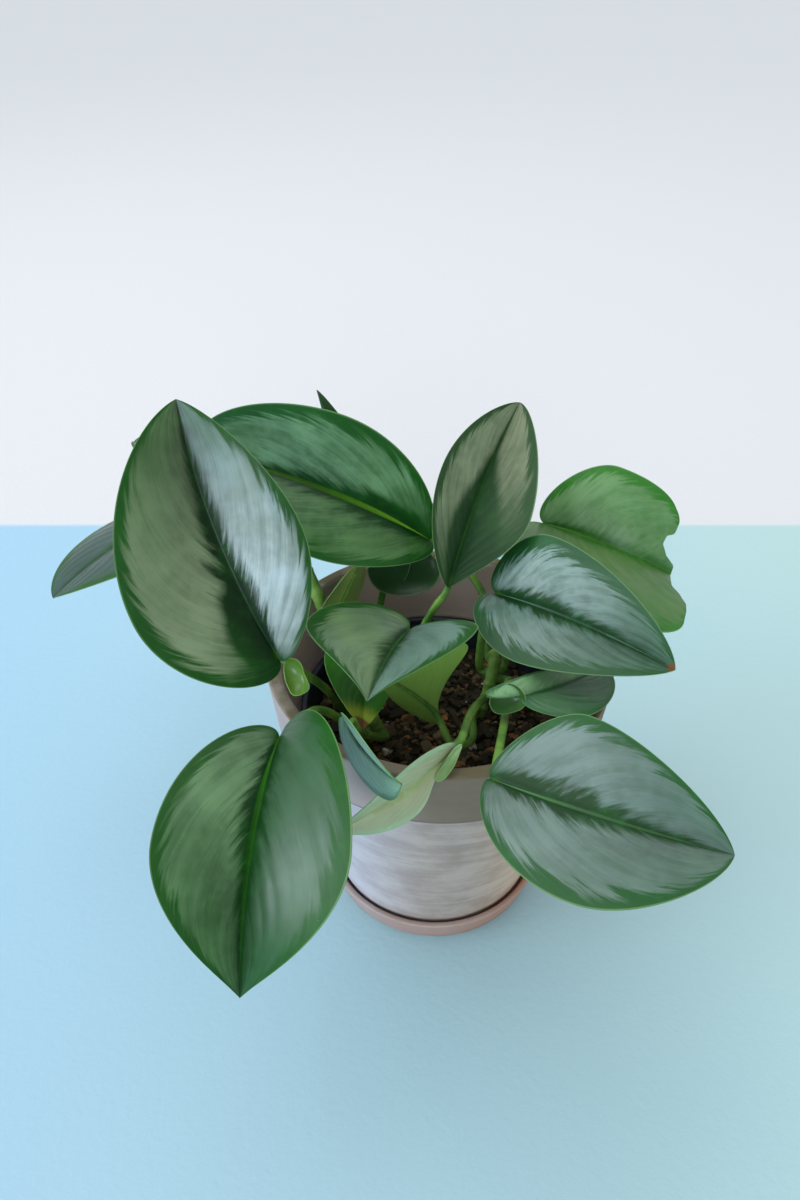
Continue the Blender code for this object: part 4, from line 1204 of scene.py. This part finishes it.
def stalk_skin():
    """Smooth yellow-green skin in deeper and lighter patches, with fine lines."""
    f = Finish("stalk_skin")
    place = f.place()
    patches = f.noise(place, 90, 3, 0.6)
    fine = f.noise(place, 1100, 2, 0.6)
    color = f.mix(f.step(patches, 0.35, 0.65), (0.05, 0.14, 0.02), (0.13, 0.26, 0.04))
    color = f.mix(f.step(fine, 0.55, 0.8) * 0.25, color, (0.2, 0.32, 0.08))
    height = fine + patches
    return f.surface(color, 0.36 + 0.15 * patches, height, 0.1 * MM, Specular_IOR_Level=0.28)


stalk_skin_material = stalk_skin()
for leaf_name, leaf in leaves.items():
    finish_piece(stalk(leaf_name, leaf, stalk_skin_material), "stem_green", f"stalk_{leaf_name}")

# ---------------------------------------------------------------------------------------------------
# Floor, light and camera. A pale blue surface that ends in white a little behind the plant, an evenly
# lit pale room with two soft bright windows at the front and left, and the camera looking down.
# ---------------------------------------------------------------------------------------------------

FLOOR_REACH = 9.0
BLUE_ENDS = 0.292
SOFT_BOX_PLACE = (-0.5, 0.5, 1.6)
SOFT_BOX_TARGET = (0, 0, 0.12)
SOFT_BOX_SIZE = 1.3
SOFT_BOX_WATTS = 9
SOFT_BOX_COLOR = (0.96, 0.98, 1)
CAMERA_PLACE = (-15.75 * MM, -288 * MM, 375.2 * MM)
CAMERA_DOWN = 37.48
CAMERA_LENS = 28
CAMERA_SENSOR = 36


def floor_paper():
    """Matt painted board: pale blue, a little greener to the right, and white beyond its back edge."""
    f = Finish("floor_paper")
    place = f.place()
    x, y, _ = f.parts(place)
    grain = f.noise(place, 260, 3, 0.6)
    clouds = f.noise(place, 5, 2, 0.5)
    blue = f.mix(f.step(x, -0.4, 0.35), (0.312, 0.49, 0.64), (0.4, 0.55, 0.535))
    blue = f.mix(f.step(clouds, 0.3, 0.7) * 0.2, blue, (0.34, 0.515, 0.6))
    color = f.mix(f.step(y, BLUE_ENDS - 0.003, BLUE_ENDS + 0.003), blue, (0.6, 0.59, 0.605))
    return f.surface(color, 0.95, grain, 0.2 * MM, Specular_IOR_Level=0.2)


floor_corners = np.array([(-1, -1, 0), (1, -1, 0), (1, 1, 0), (-1, 1, 0)]) * FLOOR_REACH
floor = mesh_piece("floor", floor_corners, [(0, 1, 2, 3)], floor_paper())


class Sky(Finish):
    """The nodes of the room around the object, lit by its direction alone."""

    def __init__(self, name):
        self.world = bpy.data.worlds.new(name)
        self.use(self.world)

    def toward(self, azimuth, elevation, power):
        """1 in this direction, falling to 0 around it, faster for a higher power. Azimuth turns from
        the back of the plant towards its right, in degrees."""
        turn, rise = math.radians(azimuth), math.radians(elevation)
        aim = (math.sin(turn) * math.cos(rise), math.cos(turn) * math.cos(rise), math.sin(rise))
        ray = self.node("ShaderNodeTexCoord", output="Generated")
        settings = {"operation": "DOT_PRODUCT"}
        dot = self.node("ShaderNodeVectorMath", settings, {0: ray, 1: aim}, output="Value")
        return dot.math("MAXIMUM", dot) ** power

    def light(self, color, strength):
        return self.node("ShaderNodeBackground", None, {"Color": color, "Strength": strength})


def room():
    """Pale walls, brightest overhead and behind, with a window at the left and one at the front."""
    s = Sky("room")
    walls = s.light((0.93, 0.97, 1), 0.4 + s.toward(0, 62, 2))
    windows = 8 * s.toward(-104, 12, 26) + 8 * s.toward(-178, 12, 30)
    windows = windows + 1.6 * s.toward(-118, 25, 6)
    glow = s.light((0.8, 0.93, 1), windows)
    both = s.node("ShaderNodeAddShader", None, {0: walls, 1: glow})
    s.node("ShaderNodeOutputWorld", None, {"Surface": both})
    return s.world


soft_box = bpy.data.lights.new("overhead", "AREA")
soft_box.size = SOFT_BOX_SIZE
soft_box.energy = SOFT_BOX_WATTS
soft_box.color = SOFT_BOX_COLOR
overhead = placed("overhead", soft_box)
overhead.location = SOFT_BOX_PLACE
away = overhead.location - Vector(SOFT_BOX_TARGET)
overhead.rotation_euler = away.to_track_quat("Z", "Y").to_euler()

bpy.context.scene.world = room()
bpy.context.scene.view_settings.view_transform = "Standard"

camera_data = bpy.data.cameras.new("camera")
camera_data.lens = CAMERA_LENS
camera_data.sensor_width = CAMERA_SENSOR
camera = placed("camera", camera_data)
camera.location = CAMERA_PLACE
camera.rotation_euler = (math.radians(90 - CAMERA_DOWN), 0, 0)
bpy.context.scene.camera = camera
